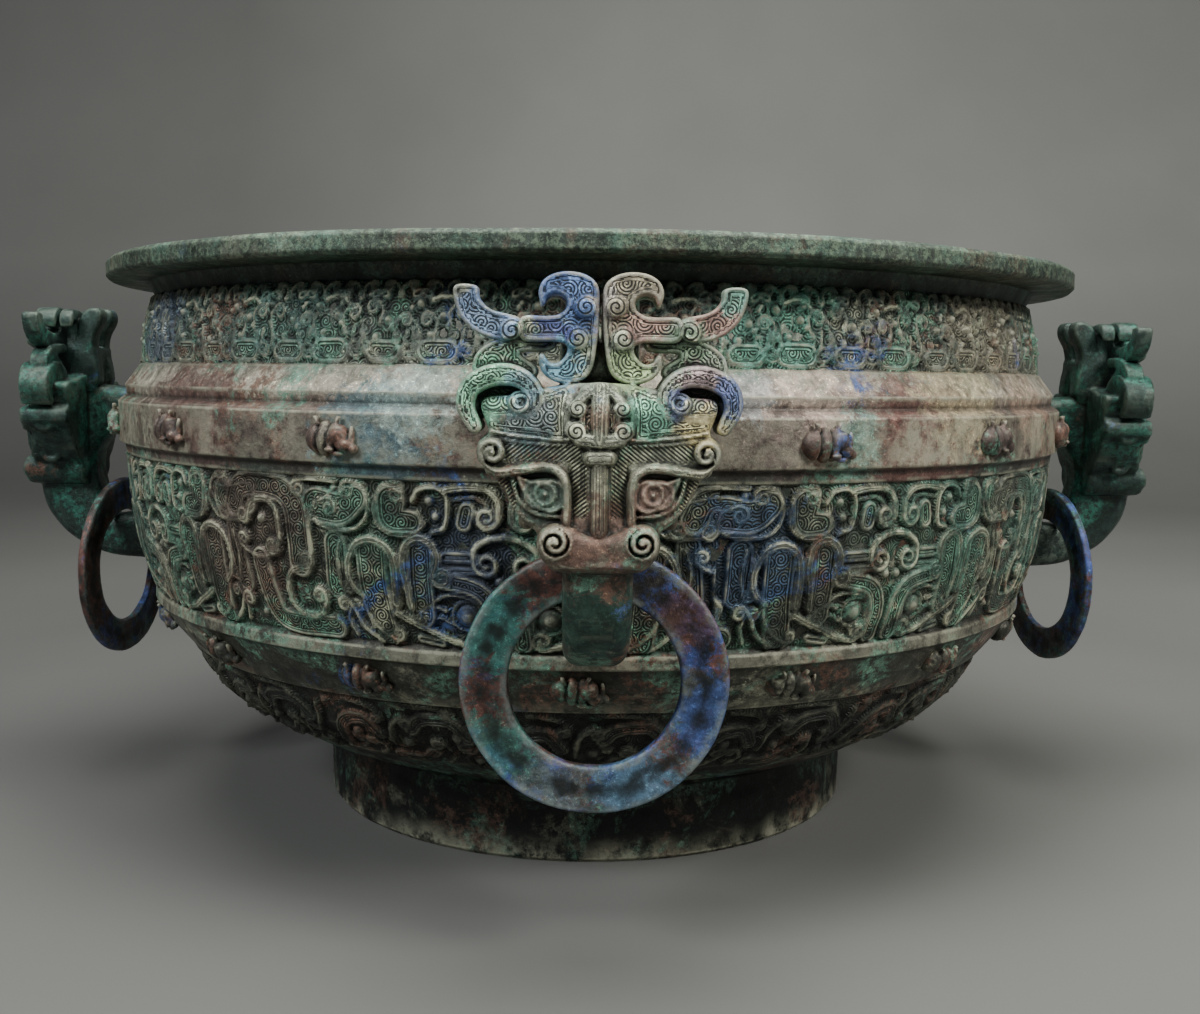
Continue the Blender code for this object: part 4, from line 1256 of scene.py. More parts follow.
@dataclass
class BeastHandle:
    """One beast-mask handle that faces along +X, before it is turned to its side of the vessel."""

    cell: float = 0.6
    faces: int = 42000

    def snail(self, centre: Point, radius: float, start: float, turns: float, width: float,
              tall: float) -> list[Stroke]:
        """Draw a raised coil with a knob in its middle.

        Args:
            centre: its middle.
            radius: the outer radius of its middle line.
            start: where it begins, in degrees from the right, against the clock.
            turns: how often it goes round; below zero it turns with the clock.
            width: how wide its line is.
            tall: how high it stands.

        Returns:
            The coil and the knob.
        """
        route = []
        for step in range(19):
            share = step / 18.0
            angle = math.radians(start + 360.0 * turns * share)
            away = radius * (1.0 - 0.66 * share)
            route.append((centre[0] + away * math.cos(angle), centre[1] + away * math.sin(angle)))
        return [wire(width, tall, tuple(route), tip=width * 0.8),
                button(radius * 0.9, tall * 0.95, (centre,))]

    def knob(self, centre: Point, radius: float, tall: float) -> Stroke:
        """Draw a flat-topped knob, which the material carves with a coil."""
        return wire(radius * 2.0, tall, (centre, (centre[0], centre[1] + 0.1)))

    def relief(self) -> tuple[Canvas, Canvas, Canvas]:
        """Draw the carving of the face, of the crest with its horns, and of the C-shaped horns.

        Returns:
            The three drawings.
        """
        face = Canvas(-44.0, 44.0, -1.0, 86.0, 0.35)
        marks = [
            wire(2.7, 3.3, ((9.2, 14.6), (9.2, 24), (11, 28.2), (15.6, 29.8), (23, 28.6), (30, 27.9),
                (34, 30.4)), tip=3.2),
            *self.snail(HEAD.cheek_coil, 3.7, -40.0, 1.35, 2.0, 3.3),
            ribbon(10.4, 1.8, ((13.8, 21.7), (17.2, 22)), tip=9.2),
            ribbon(9, 1.8, ((16.6, 22.4), (19.4, 23.6), (22.6, 26.6)), tip=2),
            wire(1.3, 3, ring_route(HEAD.eye, 2.9)),
            button(3.4, 2.9, (HEAD.eye,)),
            wire(1.5, 1.9, ((24.4, 27), (23, 21.4), (19.6, 17.6), (14.4, 16), (10, 16.1))),
            wire(1.1, 1, ((26.4, 24), (23.6, 17.4), (18.6, 13.8))),
            ribbon(7, 1.5, ((2.6, 50), (2.6, 38))),
            self.knob((6.2, 46.2), 2.7, 3.2),
            self.knob((6.5, 39.9), 3.0, 3.4),
            wire(1.1, 1.5, ((30.6, 39.4), (20, 37.9), (9, 37.4))),
            wire(0.9, 0.9, ((30.2, 37.7), (20, 36.3), (9.4, 35.9))),
        ]
        for stroke in both_sides(marks):
            face.draw(stroke)
        middle = [
            wire(4.8, 2.9, ((0, 12.2), (0, 20), (0, 32)), tip=4.6),
            wire(4.6, 3.7, ((-2.6, 32.6), (2.6, 32.6))),
            wire(5, 3.9, ((0, 37.4), (0, 44), (0, 52.6)), tip=5.8),
            wire(4.4, 3.7, ((-5.4, 37.7), (0, 37.2), (5.4, 37.7))),
            wire(3, 3.5, ((-5.6, 48.4), (-2.6, 51), (0, 51.9), (2.6, 51), (5.6, 48.4))),
        ]
        for stroke in middle:
            face.draw(stroke)
        crest = Canvas(-44.0, 44.0, -1.0, 86.0, 0.35)
        for stroke in both_sides([
            self.knob((4.2, 74.4), 3.2, 2.3),
            self.knob((6.4, 65.6), 3.4, 2.3),
            self.knob((25.2, 67.8), 3.5, 2.5),
        ]):
            crest.draw(stroke)
        horns = Canvas(-44.0, 44.0, -1.0, 86.0, 0.35)
        for stroke in both_sides([self.knob(HEAD.horn_disc, HEAD.disc_radius, 1.6)]):
            horns.draw(stroke)
        return face, crest, horns

    def loop_line(self) -> Grid:
        """Return the side view of the arm and the loop: distance from the axis and height.

        Returns:
            Its points, one a row.
        """
        s = SIZES
        return smooth_route((
            (209.8, s.arm_top), (225, s.arm_top - 0.4), (249, s.arm_top), (s.outside - 5, 176),
            (s.outside, 156), (s.outside, 145), (264, 131.5), (256.9, 120.8), (248.6, 114),
            (235, 107.9), (220, s.bottom + 0.2), (199.8, s.bottom), (206.2, s.seat),
            (226, s.seat), (233.2, s.seat + 0.4), (236.8, 138), (s.inside, 148), (s.inside, 155),
            (236.8, 161.5), (231, s.arm_foot - 0.6), (222, s.arm_foot), (209.8, s.arm_foot),
        ), 1.5, True)

    def side_shape(self, clay: Clay, outline: Grid, half: float, radius: float, aside: float = 0.0) -> Grid:
        """Return a shape drawn from the side, with a copy of it on the other side of the middle.

        Args:
            clay: the head.
            outline: its side view, as distance from the axis and height.
            half: how far it reaches to each side of its own middle.
            radius: how far its edges are rounded.
            aside: how far its own middle is from the head's.

        Returns:
            The distance from it.
        """
        away, height = np.broadcast_arrays(clay.x[:, :, 0], clay.z[:, 0, :])
        flat = outline_distance(away.astype(float), height.astype(float), outline)
        return rounded(flat[:, None, :], np.abs(np.abs(clay.y) - aside) - half, radius)

    def build(self) -> tuple[Clay, dict[str, Grid]]:
        """Shape the handle.

        Returns:
            The clay, and maps of the carving over y and z: plate, edge, hatch.
        """
        s = SIZES
        clay = Clay((198, -44.4, 103.2), (275.4, 44.4, 229.2), self.cell)
        y, z = np.broadcast_arrays(clay.y[0], clay.z[0])
        y, z = y.astype(float), z.astype(float)
        u, v = np.abs(y), z - s.chin
        face_relief, crest_relief, horn_relief = self.relief()
        flats = {}
        for name in ("face", "crest", "hook", "horn", "web", "muzzle", "forehead", "scoop"):
            outline = smooth_route(getattr(HEAD, name), 0.8, name != "face")
            if name == "face":
                outline = np.vstack([outline, np.array([(-6, 0.2), (-6, 53.6)])])
            flats[name] = outline_distance(u, v, outline)
        clay.add(self.side_shape(clay, self.loop_line(), s.half_loop, 5.6))
        lift, plate, edge = face_relief.read(y, v)
        cheek = 3.4 * spread(20.0, 34.0, u) * spread(30.0, 22.0, v)
        brow = 0.7 * spread(0.2, 1.4, -flats["forehead"])
        base = s.face_front - s.sweep * u - cheek + brow - 2.6 * spread(44.0, 54.0, v) - 0.6
        socket = 0.5 * np.exp(-(np.hypot(u - 16.0, (v - 22.5) * 1.1) / 6.6) ** 4)
        trough = 1.2 * gate(u, 3.0, 4.6, 7.6, 9.6) * gate(v, 13.0, 17.0, 30.0, 36.0)
        front = np.minimum(base - socket - trough + lift, s.reach)
        clay.add(clay.plate(flats["face"], s.face_back, front, 1.4), 1.2)
        clay.add(clay.plate(flats["muzzle"], s.face_back, self.muzzle_front(u, v), 2.6), 0.8)
        clay.add(clay.plate(flats["scoop"], s.c_horn_back, s.horn_front - 0.6, 0.8), 0.8)
        rim = 0.42 * bell(-flats["crest"], 0.6, 0.38)
        crest_lift, _, _ = crest_relief.read(y, v)
        crest_front = s.crest_front - 1.1 + rim + crest_lift * 0.8
        clay.add(clay.plate(flats["crest"], s.crest_step, crest_front, 0.9), 0.4)
        clay.add(clay.plate(flats["hook"], s.finger_back, s.crest_step - 1.6, 1.6), 0.4)
        stem = np.maximum(u - 11.0, np.maximum(45.0 - v, v - 65.6))
        clay.add(clay.plate(stem, s.face_back - 4.6, s.crest_step + 2.0, 1.6), 1.0)
        self.add_curls(clay)
        web_rim = 0.42 * bell(-flats["web"], 0.6, 0.4)
        clay.add(clay.plate(flats["web"], s.horn_back - 1.5, s.horn_front - 1.4 + web_rim, 0.8), 0.6)
        horn_rim = 0.42 * bell(-flats["horn"], 0.6, 0.38)
        horn_front = s.horn_front - 0.9 + horn_rim + crest_lift * 0.8
        clay.add(clay.plate(flats["horn"], s.horn_back, horn_front, 0.8), 0.4)
        bow = smooth_route(HEAD.c_horn)
        away, along = nearest(u, v, bow)
        half = 1.5 + 1.7 * np.sin(math.pi * np.clip(along * 0.94 + 0.12, 0.0, 1.0))
        dome = np.sqrt(np.clip(1.0 - (away / (half + 0.4)) ** 2, 0.0, 1.0))
        horn_lift, _, _ = horn_relief.read(y, v)
        bow_front = s.c_horn_front - 3.0 + 2.4 * dome + 0.4 * bell(half - away, 0.6, 0.4)
        bow_front = bow_front + horn_lift + 0.17 * np.clip(40.0 - u, 0.0, 22.0)
        disc = np.hypot(u - HEAD.horn_disc[0], v - HEAD.horn_disc[1]) - HEAD.disc_radius
        horn = np.minimum(away - half, disc)
        clay.add(clay.plate(horn, s.c_horn_back, bow_front, 0.8), 0.4)
        self.add_ears(clay)
        masks = self.carving_maps(u, v, flats, horn, plate, edge)
        return clay, masks

    def muzzle_front(self, u: Grid, v: Grid) -> Grid:
        """Return how far forward the muzzle and its two nostril coils reach.

        Args:
            u: places to the side.
            v: places over the chin.

        Returns:
            The depth of its front.
        """
        right, up = u - HEAD.nostril[0], v - HEAD.nostril[1]
        turn, away = np.arctan2(up, right), np.hypot(right, up)
        wave = np.cos(TURN * (away / HEAD.nostril_pitch + turn / TURN - 0.2))
        groove = 2.0 * spread(0.1, 0.9, wave) * spread(0.5, 1.1, away) * spread(4.4, 3.8, away)
        knob = 1.5 * np.sqrt(np.clip(1.0 - (away / 3.4) ** 2, 0.0, 1.0))
        ring = 0.9 * bell(away, 4.0, 0.95)
        lip = 1.1 * bell(v, 2.0, 1.5) * spread(16.0, 12.0, u)
        saddle = 0.8 * np.cos(np.clip((v - 6.4) / 5.6, -1.0, 1.0) * math.pi / 2.0)
        front = SIZES.reach - 2.6 - 0.05 * u + saddle + ring + knob - groove - 0.6 + 0.5 * lip
        return np.minimum(front, SIZES.reach)

    def add_curls(self, clay: Clay) -> None:
        """Add the two curls that bend back behind the crest.

        Args:
            clay: the head.
        """
        line = smooth_route(((247.5, 190), (247.5, 205), (244.6, 216), (243.6, 222), (239.4, 226),
                             (234.6, 225.9), (233, 222.6), (233.8, 218.6), (236.6, 213.4),
                             (237.6, 206), (235.8, 198), (236.4, 190)), 1.5, True)
        clay.add(self.side_shape(clay, line, 4.6, 1.8, 7.0), 0.8)

    def add_ears(self, clay: Clay) -> None:
        """Add the ears, which curl at the sides of the head, and the folds beside the mouth.

        Args:
            clay: the head.
        """
        for x, z, radius, tube, side in ((253, 174.6, 4.6, 2, 30.4), (254.5, 158, 3.4, 1.7, 20.8)):
            away = np.hypot(clay.x - x, clay.z - z)
            ring = np.hypot(away - radius, (np.abs(clay.y) - side) * 0.8) - tube
            clay.add(ring, 0.8)
            clay.add(clay.ball((x, side - 0.6, z), (2.2, 2, 2.2), twice=True), 0.6)

    def carving_maps(self, u: Grid, v: Grid, flats: dict[str, Grid], bow: Grid, plate: Grid,
                     edge: Grid) -> dict[str, Grid]:
        """Lay out where the fine lines run: the nearest layer in front wins.

        Args:
            u: places to the side.
            v: places over the chin.
            flats: the outlines' distances.
            bow: the distance from the C-shaped horn.
            plate: the face's plates.
            edge: the distance from the edges of the face's plates.

        Returns:
            The plate, edge and hatch maps.
        """
        brow = gate(v, 30.6, 31.8, 35.6, 36.6) * gate(u, 4.4, 5.6, 26.4, 28.0)
        beside = gate(u, 3.0, 3.8, 7.6, 8.4) * gate(v, 15.0, 16.5, 31.0, 32.5)
        cheek = gate(u, 22.6, 24.0, 29.5, 31.0) * gate(v, 12.0, 15.0, 25.5, 27.0)
        hatch = np.maximum(np.maximum(brow, beside), cheek)
        calm = spread(7.2, 8.0, np.hypot(u - 15.8, (v - 22.6) * 1.1))
        plate = plate * calm
        away = np.maximum(flats["forehead"], 4.0 - np.hypot(u - 5.6, (v - 43.0) * 0.45))
        plate = np.maximum(plate, spread(0.3, 0.8, -away))
        edge = np.where(flats["forehead"] < 0.2, -away, edge)
        plate = plate * spread(-0.2, 0.4, flats["muzzle"])
        for flat in (flats["scoop"], flats["web"], flats["crest"], flats["horn"], bow):
            mask = spread(1.1, 1.5, -flat)
            here = flat < 0.2
            plate = np.where(here, mask, plate)
            edge = np.where(here, -flat, edge)
            hatch = np.where(here, 0.0, hatch)
        plate = plate * spread(4.0, 4.8, np.hypot(u - HEAD.cheek_coil[0], v - HEAD.cheek_coil[1]))
        for side, up, radius, _ in HEAD.coils:
            away = np.hypot(u - side, v - up)
            plate = plate * spread(radius + 0.1, radius + 0.8, away)
            plate = np.maximum(plate, spread(radius, radius - 0.3, away))
            hatch = hatch * spread(radius, radius + 0.6, away)
        return {"plate": plate, "edge": edge, "hatch": hatch}

    def mesh(self) -> Mesh:
        """Make the handle's mesh with the numbers that its material reads.

        Returns:
            The mesh.
        """
        clay, maps = self.build()
        mesh = clay.mesh("beast_handle", self.faces, np.maximum(maps["plate"], maps["hatch"]))
        points = mesh_points(mesh)
        normals = np.zeros(points.size, np.float32)
        mesh.vertex_normals.foreach_get("vector", normals)
        facing = spread(0.35, 0.65, normals.reshape(-1, 3)[:, 0])
        front = spread(FRONT_DEPTH - 3.0, FRONT_DEPTH - 1.0, points[:, 0])
        mark(mesh, "plate", clay.sample(maps["plate"], points) * facing * front)
        mark(mesh, "edge", clay.sample(maps["edge"], points))
        mark(mesh, "hatch", clay.sample(maps["hatch"], points) * facing * front)
        near = clay.sample(clay.crowding(3), points)
        mark(mesh, "cavity", np.clip((0.5 - near) * 3.0, -1.0, 1.0))
        lay_flat(mesh, points[:, 1], points[:, 2] - SIZES.chin)
        return mesh

    def stand(self, sides: dict[str, float], finish: Material) -> None:
        """Stand copies of the handle at some sides of the vessel for the solid ones.

        Args:
            sides: each side's name and its direction, counted from +X.
            finish: their material.
        """
        shape = self.mesh()
        for side, turn in sides.items():
            turned = shape.copy()
            turned.transform(Matrix.Rotation(turn, 4, "Z"))
            piece = placed(f"beast_{side}", turned, finish)
            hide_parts(f"handle_{side}")


@dataclass
class LooseRing:
    """A flat ring that hangs in a handle's loop."""

    radius: float = 42.8
    hole: float = 27.1
    thickness: float = 4.1
    standoff: float = 229.2
    middle: float = 101.685
    slant: float = math.radians(7.0)
    steps: int = 112

    def middle_radius(self) -> float:
        """Return the radius of the middle line of its flat."""
        return (self.radius + self.hole) / 2.0

    def section(self) -> Grid:
        """Return the ring's section in millimetres, as (distance from its middle, depth) pairs.

        Returns:
            The pairs, one a row.
        """
        half, edge = self.thickness / 2.0, 1.25
        corners = ((self.radius, half, 0.0), (self.hole, half, 90.0), (self.hole, -half, 180.0),
                   (self.radius, -half, 270.0))
        points = []
        for away, depth, start in corners:
            inwards = edge if away == self.radius else -edge
            centre = (away - inwards, depth - math.copysign(edge, depth))
            for step in range(5):
                angle = math.radians(start + 22.5 * step)
                points.append((centre[0] + edge * math.cos(angle), centre[1] + edge * math.sin(angle)))
        return refined(np.asarray([*points, points[0]]), 1.7)[:-1]

    def build(self, side: str, turn: float, finish: Material, seed: int) -> None:
        """Hang one ring.

        Args:
            side: the name of its side.
            turn: the side's direction, counted from +X.
            finish: its material.
            seed: the choice of its worn places.
        """
        section = self.section()
        share = np.arange(self.steps)[:, None] / self.steps
        around = np.linspace(0.0, 1.0, len(section), endpoint=False)[None, :]
        angle = TURN * share
        worn = drift(share + 0.0 * around, around + 0.0 * share, (23, 5), seed)
        pitted = drift(share + 0.0 * around, around + 0.0 * share, (71, 17), seed + 1)
        shrink = 0.16 + 0.14 * worn + 0.07 * pitted
        middle, half = self.middle_radius(), self.thickness / 2.0
        width = (self.radius - self.hole) / 2.0
        across = middle + (section[:, 0] - middle)[None] * (1.0 - shrink / 7.9)
        depth = section[:, 1][None] * (1.0 - shrink / half)
        points = np.stack([self.standoff + depth, across * np.cos(angle),
                           self.middle + across * np.sin(angle)], axis=-1)
        rows, columns = points.shape[:2]
        row, column = np.meshgrid(np.arange(rows), np.arange(columns), indexing="ij")
        after, beside = (row + 1) % rows, (column + 1) % columns
        quads = np.stack([row * columns + column, after * columns + column,
                          after * columns + beside, row * columns + beside], axis=-1).reshape(-1, 4)
        mesh = quads_mesh(f"loose_{side}", points.reshape(-1, 3) * MM, quads)
        rounding = np.hypot(np.abs(section[:, 0] - middle) / width, np.abs(section[:, 1]) / half) - 1.12
        mark(mesh, "cavity", np.clip(rounding * 3.4 + 0.35 * pitted, -1.0, 1.0))
        hang = Matrix.Translation((self.standoff * MM, 0.0, 0.0))
        mesh.transform(hang @ Matrix.Rotation(self.slant * math.cos(turn), 4, "Z") @ hang.inverted())
        mesh.transform(Matrix.Rotation(turn, 4, "Z"))
        piece = placed(f"loose_{side}", mesh, finish)
        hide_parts(f"ring_{side}")


class Wiring:
    """Adds nodes to a tree and joins them."""

    def __init__(self, tree: bpy.types.NodeTree) -> None:
        """Take up the tree."""
        self.tree = tree

    def feed(self, socket: Socket, value: Value) -> None:
        """Link or set an input.

        Args:
            socket: the input.
            value: the output to link it to, or the value that it gets.
        """
        if isinstance(value, bpy.types.NodeSocket):
            self.tree.links.new(value, socket)
        elif isinstance(value, tuple) and socket.type == "RGBA":
            socket.default_value = (*value, 1.0)
        else:
            socket.default_value = value

    def add(self, kind: str, inputs: dict[int | str, Value] | None = None, **settings: str) -> bpy.types.Node:
        """Add a node.

        Args:
            kind: its type.
            inputs: what its inputs get.
            settings: its own settings.

        Returns:
            The node.
        """
        node = self.tree.nodes.new(kind)
        for name, setting in settings.items():
            setattr(node, name, setting)
        for key, value in (inputs or {}).items():
            self.feed(node.inputs[key], value)
        return node


@dataclass(frozen=True)
class BossRow:
    """A row of small crouching beasts round the vessel."""

    name: str
    height: float
    count: int = 16
    skip: int = 0
    first: float = -1.6
    faces: int = 1100

    def beast(self) -> Mesh:
        """Model one beast, lying on the wall where x is 0 and looking along +Y.

        Returns:
            Its mesh.
        """
        clay = Clay((-2.2, -12, -8.4), (6.6, 12, 8.4), 0.45)
        body = clay.ball((0.2, -1.8, 0), (4.3, 8.4, 6))
        for place, lean in ((-4.4, 0.24), (-0.4, 0.3), (3.4, 0.34)):
            line = np.abs(clay.y - place - lean * np.sin(clay.z * 0.5)) - 0.32
            body = body + 0.9 * np.exp(-(np.maximum(line, 0.0) / 0.5) ** 2)
        clay.add(body)
        for centre, size, melt in (
            ((1.5, 3.4, 1.4), (3.1, 3.3, 3.5), 0.8), ((2.3, 5.4, -1.9), (2.1, 2.7, 2.2), 0.8),
            ((1, 8.6, -3.2), (1.9, 1.7, 1.7), 0.4), ((0.8, 8, 1.2), (1.2, 0.9, 3.4), 0.6),
            ((3.6, 1, -3.4), (1.4, 1.9, 1), 0.4), ((2.6, 3.6, -4.8), (1.3, 2.2, 0.9), 0.4),
        ):
            clay.add(clay.ball(centre, size), melt)
        for place, lean in ((-5, -0.4), (2.6, 0.45)):
            away = np.hypot(clay.y - place - lean * (clay.z - 5.4), (clay.x - 1.5) * 0.8)
            clay.add(np.maximum(away - 0.75, np.abs(clay.z - 6.0) - 1.5), 0.5)
        clay.cut(clay.x + 1.2 + 0.0 * clay.y * clay.z, 0.1)
        mesh = clay.mesh(self.name, self.faces)
        near = clay.sample(clay.crowding(2), mesh_points(mesh))
        mark(mesh, "cavity", np.clip((0.46 - near) * 3.0, -1.0, 1.0))
        return mesh

    def tree(self, finish: Material) -> bpy.types.NodeTree:
        """Lay out the nodes that stand the beasts in a ring.

        Args:
            finish: their material.

        Returns:
            The nodes.
        """
        tree = bpy.data.node_groups.new(self.name, "GeometryNodeTree")
        face = tree.interface
        face.new_socket("Beast", in_out="INPUT", socket_type="NodeSocketGeometry")
        for label in ("Count", "Skip Every"):
            face.new_socket(label, in_out="INPUT", socket_type="NodeSocketInt")
        for label in ("First Turn", "Sway"):
            face.new_socket(label, in_out="INPUT", socket_type="NodeSocketFloat")
        face.new_socket("Beasts", in_out="OUTPUT", socket_type="NodeSocketGeometry")
        nodes = Wiring(tree)
        given = nodes.add("NodeGroupInput").outputs
        points = nodes.add("GeometryNodePoints", {"Count": given["Count"]}).outputs[0]
        index = nodes.add("GeometryNodeInputIndex").outputs["Index"]
        rest = nodes.add("ShaderNodeMath", {0: index, 1: given["Skip Every"]}, operation="FLOORED_MODULO")
        shown = nodes.add("FunctionNodeCompare", {"A": rest.outputs[0], "B": 0.5}, operation="GREATER_THAN")
        whole = nodes.add("FunctionNodeCompare", {"A": given["Skip Every"], "B": 0.5}, operation="LESS_THAN")
        either = nodes.add("FunctionNodeBooleanMath", {0: shown.outputs[0], 1: whole.outputs[0]},
                           operation="OR").outputs[0]
        step = nodes.add("ShaderNodeMath", {0: TURN, 1: given["Count"]}, operation="DIVIDE").outputs[0]
        turn = nodes.add("ShaderNodeMath", {0: index, 1: step, 2: given["First Turn"]},
                         operation="MULTIPLY_ADD").outputs[0]
        chance = nodes.add("FunctionNodeRandomValue", {"Min": -1.0, "Max": 1.0, "Seed": 7},
                           data_type="FLOAT").outputs["Value"]
        swayed = nodes.add("ShaderNodeMath", {0: chance, 1: given["Sway"], 2: turn},
                           operation="MULTIPLY_ADD").outputs[0]
        angles = nodes.add("ShaderNodeCombineXYZ", {"Z": swayed}).outputs[0]
        rotation = nodes.add("FunctionNodeEulerToRotation", {0: angles}).outputs[0]
        stand = nodes.add("GeometryNodeInstanceOnPoints", {
            "Points": points, "Selection": either, "Instance": given["Beast"], "Rotation": rotation})
        real = nodes.add("GeometryNodeRealizeInstances", {0: stand.outputs[0]}).outputs[0]
        look = nodes.add("GeometryNodeSetMaterial", {"Geometry": real, "Material": finish}).outputs[0]
        nodes.add("NodeGroupOutput", {0: look})
        return tree

    def build(self, finish: Material) -> Object:
        """Stand the row round the wall.

        Args:
            finish: their material.

        Returns:
            The row as one piece.
        """
        mesh = self.beast()
        below, above = (float(LINE.radius(self.height + way * 3.0 * MM)) for way in (-1, 1))
        radius = float(LINE.radius(self.height))
        tilt = math.atan2(above - below, 6.0 * MM)
        mesh.transform(Matrix.Translation((radius, 0, self.height)) @ Matrix.Rotation(tilt, 4, "Y"))
        mesh.transform(Matrix.Rotation(-math.pi / 2.0, 4, "Z"))
        holder = linked(self.name, mesh)
        nodes = holder.modifiers.new("row", "NODES")
        nodes.node_group = self.tree(finish)
        given = {"Count": self.count, "Skip Every": self.skip, "First Turn": math.radians(self.first),
                 "Sway": math.radians(0.5)}
        for socket in nodes.node_group.interface.items_tree:
            if socket.in_out == "INPUT" and socket.name in given:
                nodes[socket.identifier] = given[socket.name]
        holder.update_tag()
        bpy.context.view_layer.update()
        piece = placed(self.name, settled(holder), finish)
        return piece


class Bench(Wiring):
    """Lays out the nodes of one material."""

    def __init__(self, name: str) -> None:
        """Start an empty material with a shader and an output.

        Args:
            name: the material's name.
        """
        self.material = bpy.data.materials.new(name)
        self.material.use_nodes = True
        super().__init__(self.material.node_tree)
        self.tree.nodes.clear()
        self.shader = self.add("ShaderNodeBsdfPrincipled")
        self.add("ShaderNodeOutputMaterial", {"Surface": self.shader.outputs["BSDF"]})
        self.place: Socket = self.add("ShaderNodeTexCoord").outputs["Object"]

    def math(self, operation: str, first: Value, second: Value = 0.0) -> Socket:
        """Work out a number from one or two others."""
        return self.add("ShaderNodeMath", {0: first, 1: second}, operation=operation).outputs[0]

    def times(self, first: Value, *others: Value) -> Socket:
        """Multiply numbers."""
        return reduce(partial(self.math, "MULTIPLY"), others, first)

    def plus(self, first: Value, second: Value) -> Socket:
        """Add two numbers."""
        return self.math("ADD", first, second)

    def less(self, first: Value, second: Value) -> Socket:
        """Take the second number from the first."""
        return self.math("SUBTRACT", first, second)

    def over(self, first: Value, second: Value) -> Socket:
        """Divide the first number by the second."""
        return self.math("DIVIDE", first, second)

    def wave(self, turns: Value) -> Socket:
        """Return the cosine of a number of whole turns."""
        return self.math("COSINE", self.times(turns, TURN))

    def between(self, share: Value, first: Value, second: Value) -> Socket:
        """Mix two numbers."""
        return self.plus(self.times(first, self.less(1.0, share)), self.times(second, share))

    def vector(self, operation: str, first: Socket, second: Value | None = None) -> Socket:
        """Work out a vector or a length.

        Args:
            operation: the node's operation.
            first: a vector.
            second: another vector, or the number that scales the first one.

        Returns:
            The result.
        """
        inputs = {0: first}
        if second is not None:
            inputs[3 if operation == "SCALE" else 1] = second
        node = self.add("ShaderNodeVectorMath", inputs, operation=operation)
        return node.outputs["Value" if operation == "LENGTH" else "Vector"]

    def split(self, vector: Socket) -> tuple[Socket, ...]:
        """Return the three parts of a vector."""
        return tuple(self.add("ShaderNodeSeparateXYZ", {0: vector}).outputs)

    def ease(self, value: Value, low: float, high: float) -> Socket:
        """Rise smoothly from 0 at low to 1 at high."""
        ends = {"Value": value, "From Min": low, "From Max": high}
        return self.add("ShaderNodeMapRange", ends, interpolation_type="SMOOTHSTEP").outputs["Result"]

    def remap(self, value: Value, low: float, high: float, first: float, last: float) -> Socket:
        """Turn the range from low to high into the one from first to last."""
        ends = {"Value": value, "From Min": low, "From Max": high, "To Min": first, "To Max": last}
        return self.add("ShaderNodeMapRange", ends).outputs["Result"]

    def noise(self, scale: float, detail: float, rough: float, twist: float = 0.0,
              offset: Point3 | None = None) -> Socket:
        """Return soft random values around 0.5.

        Args:
            scale: how many of them go to a metre.
            detail: how many finer layers lie over the coarsest one.
            rough: how strong the finer ones are.
            twist: how much the pattern is bent.
            offset: how far it is moved, so that it differs from the others.

        Returns:
            One value a place.
        """
        place = self.place if offset is None else self.vector("ADD", self.place, offset)
        given = {"Vector": place, "Scale": scale, "Detail": detail, "Roughness": rough, "Distortion": twist}
        return self.add("ShaderNodeTexNoise", given).outputs["Fac"]

    def blend(self, share: Value, first: Value, second: Value, way: str = "MIX") -> Socket:
        """Mix two colours."""
        colours = {0: share, 6: first, 7: second}
        return self.add("ShaderNodeMix", colours, data_type="RGBA", blend_type=way).outputs[2]

    def colour(self, *parts: Value) -> Socket:
        """Join a red, a green and a blue part."""
        return self.add("ShaderNodeCombineColor", dict(enumerate(parts))).outputs["Color"]

    def ramp(self, value: Value, stops: Sequence[tuple[float, Tint]]) -> Socket:
        """Look a colour up along a row of stops.

        Args:
            value: where to look, from 0 to 1.
            stops: places and their colours.

        Returns:
            The colour.
        """
        node = self.add("ShaderNodeValToRGB", {"Fac": value})
        bar = node.color_ramp
        while len(bar.elements) < len(stops):
            bar.elements.new(0.5)
        for element, (place, colour) in zip(bar.elements, stops):
            element.position = place
            element.color = (*colour, 1.0)
        return node.outputs["Color"]

    def attribute(self, name: str) -> Socket:
        """Read a number kept on the mesh."""
        return self.add("ShaderNodeAttribute", attribute_name=name).outputs["Fac"]

    def flat(self) -> Socket:
        """Read the carving's own map, in millimetres."""
        return self.vector("SCALE", self.add("ShaderNodeUVMap", uv_map=FLAT_MAP).outputs["UV"], FLAT_UNIT)

    def bump(self, height: Value, depth: float, strength: float, under: Socket | None = None) -> Socket:
        """Raise the surface where height is 1.

        Args:
            height: the pattern.
            depth: how many metres it is raised.
            strength: how much of that shows.
            under: the bump that it lies on.

        Returns:
            The surface's direction.
        """
        given = {"Strength": strength, "Distance": depth, "Height": height}
        if under is not None:
            given["Normal"] = under
        return self.add("ShaderNodeBump", given).outputs["Normal"]


@dataclass(frozen=True)
class Patch:
    """A blot of one colour on the bronze: its centre and radius in millimetres."""

    centre: Point3
    radius: float
    tint: Tint
    share: float

    def amount(self, bench: Bench) -> Socket:
        """Return how strongly the blot shows: all of it in its middle, with a ragged edge.

        Args:
            bench: the material's nodes.

        Returns:
            The share of its colour.
        """
        way = bench.vector("SUBTRACT", bench.place, tuple(part * MM for part in self.centre))
        away = bench.over(bench.vector("LENGTH", way), self.radius * MM)
        ragged = bench.less(bench.noise(150.0, 6.0, 0.82, 0.5, (8.8, 0.4, 1.2)), 0.5)
        return bench.times(bench.ease(bench.plus(away, bench.times(ragged, 2.8)), 1.0, 0.72), self.share)


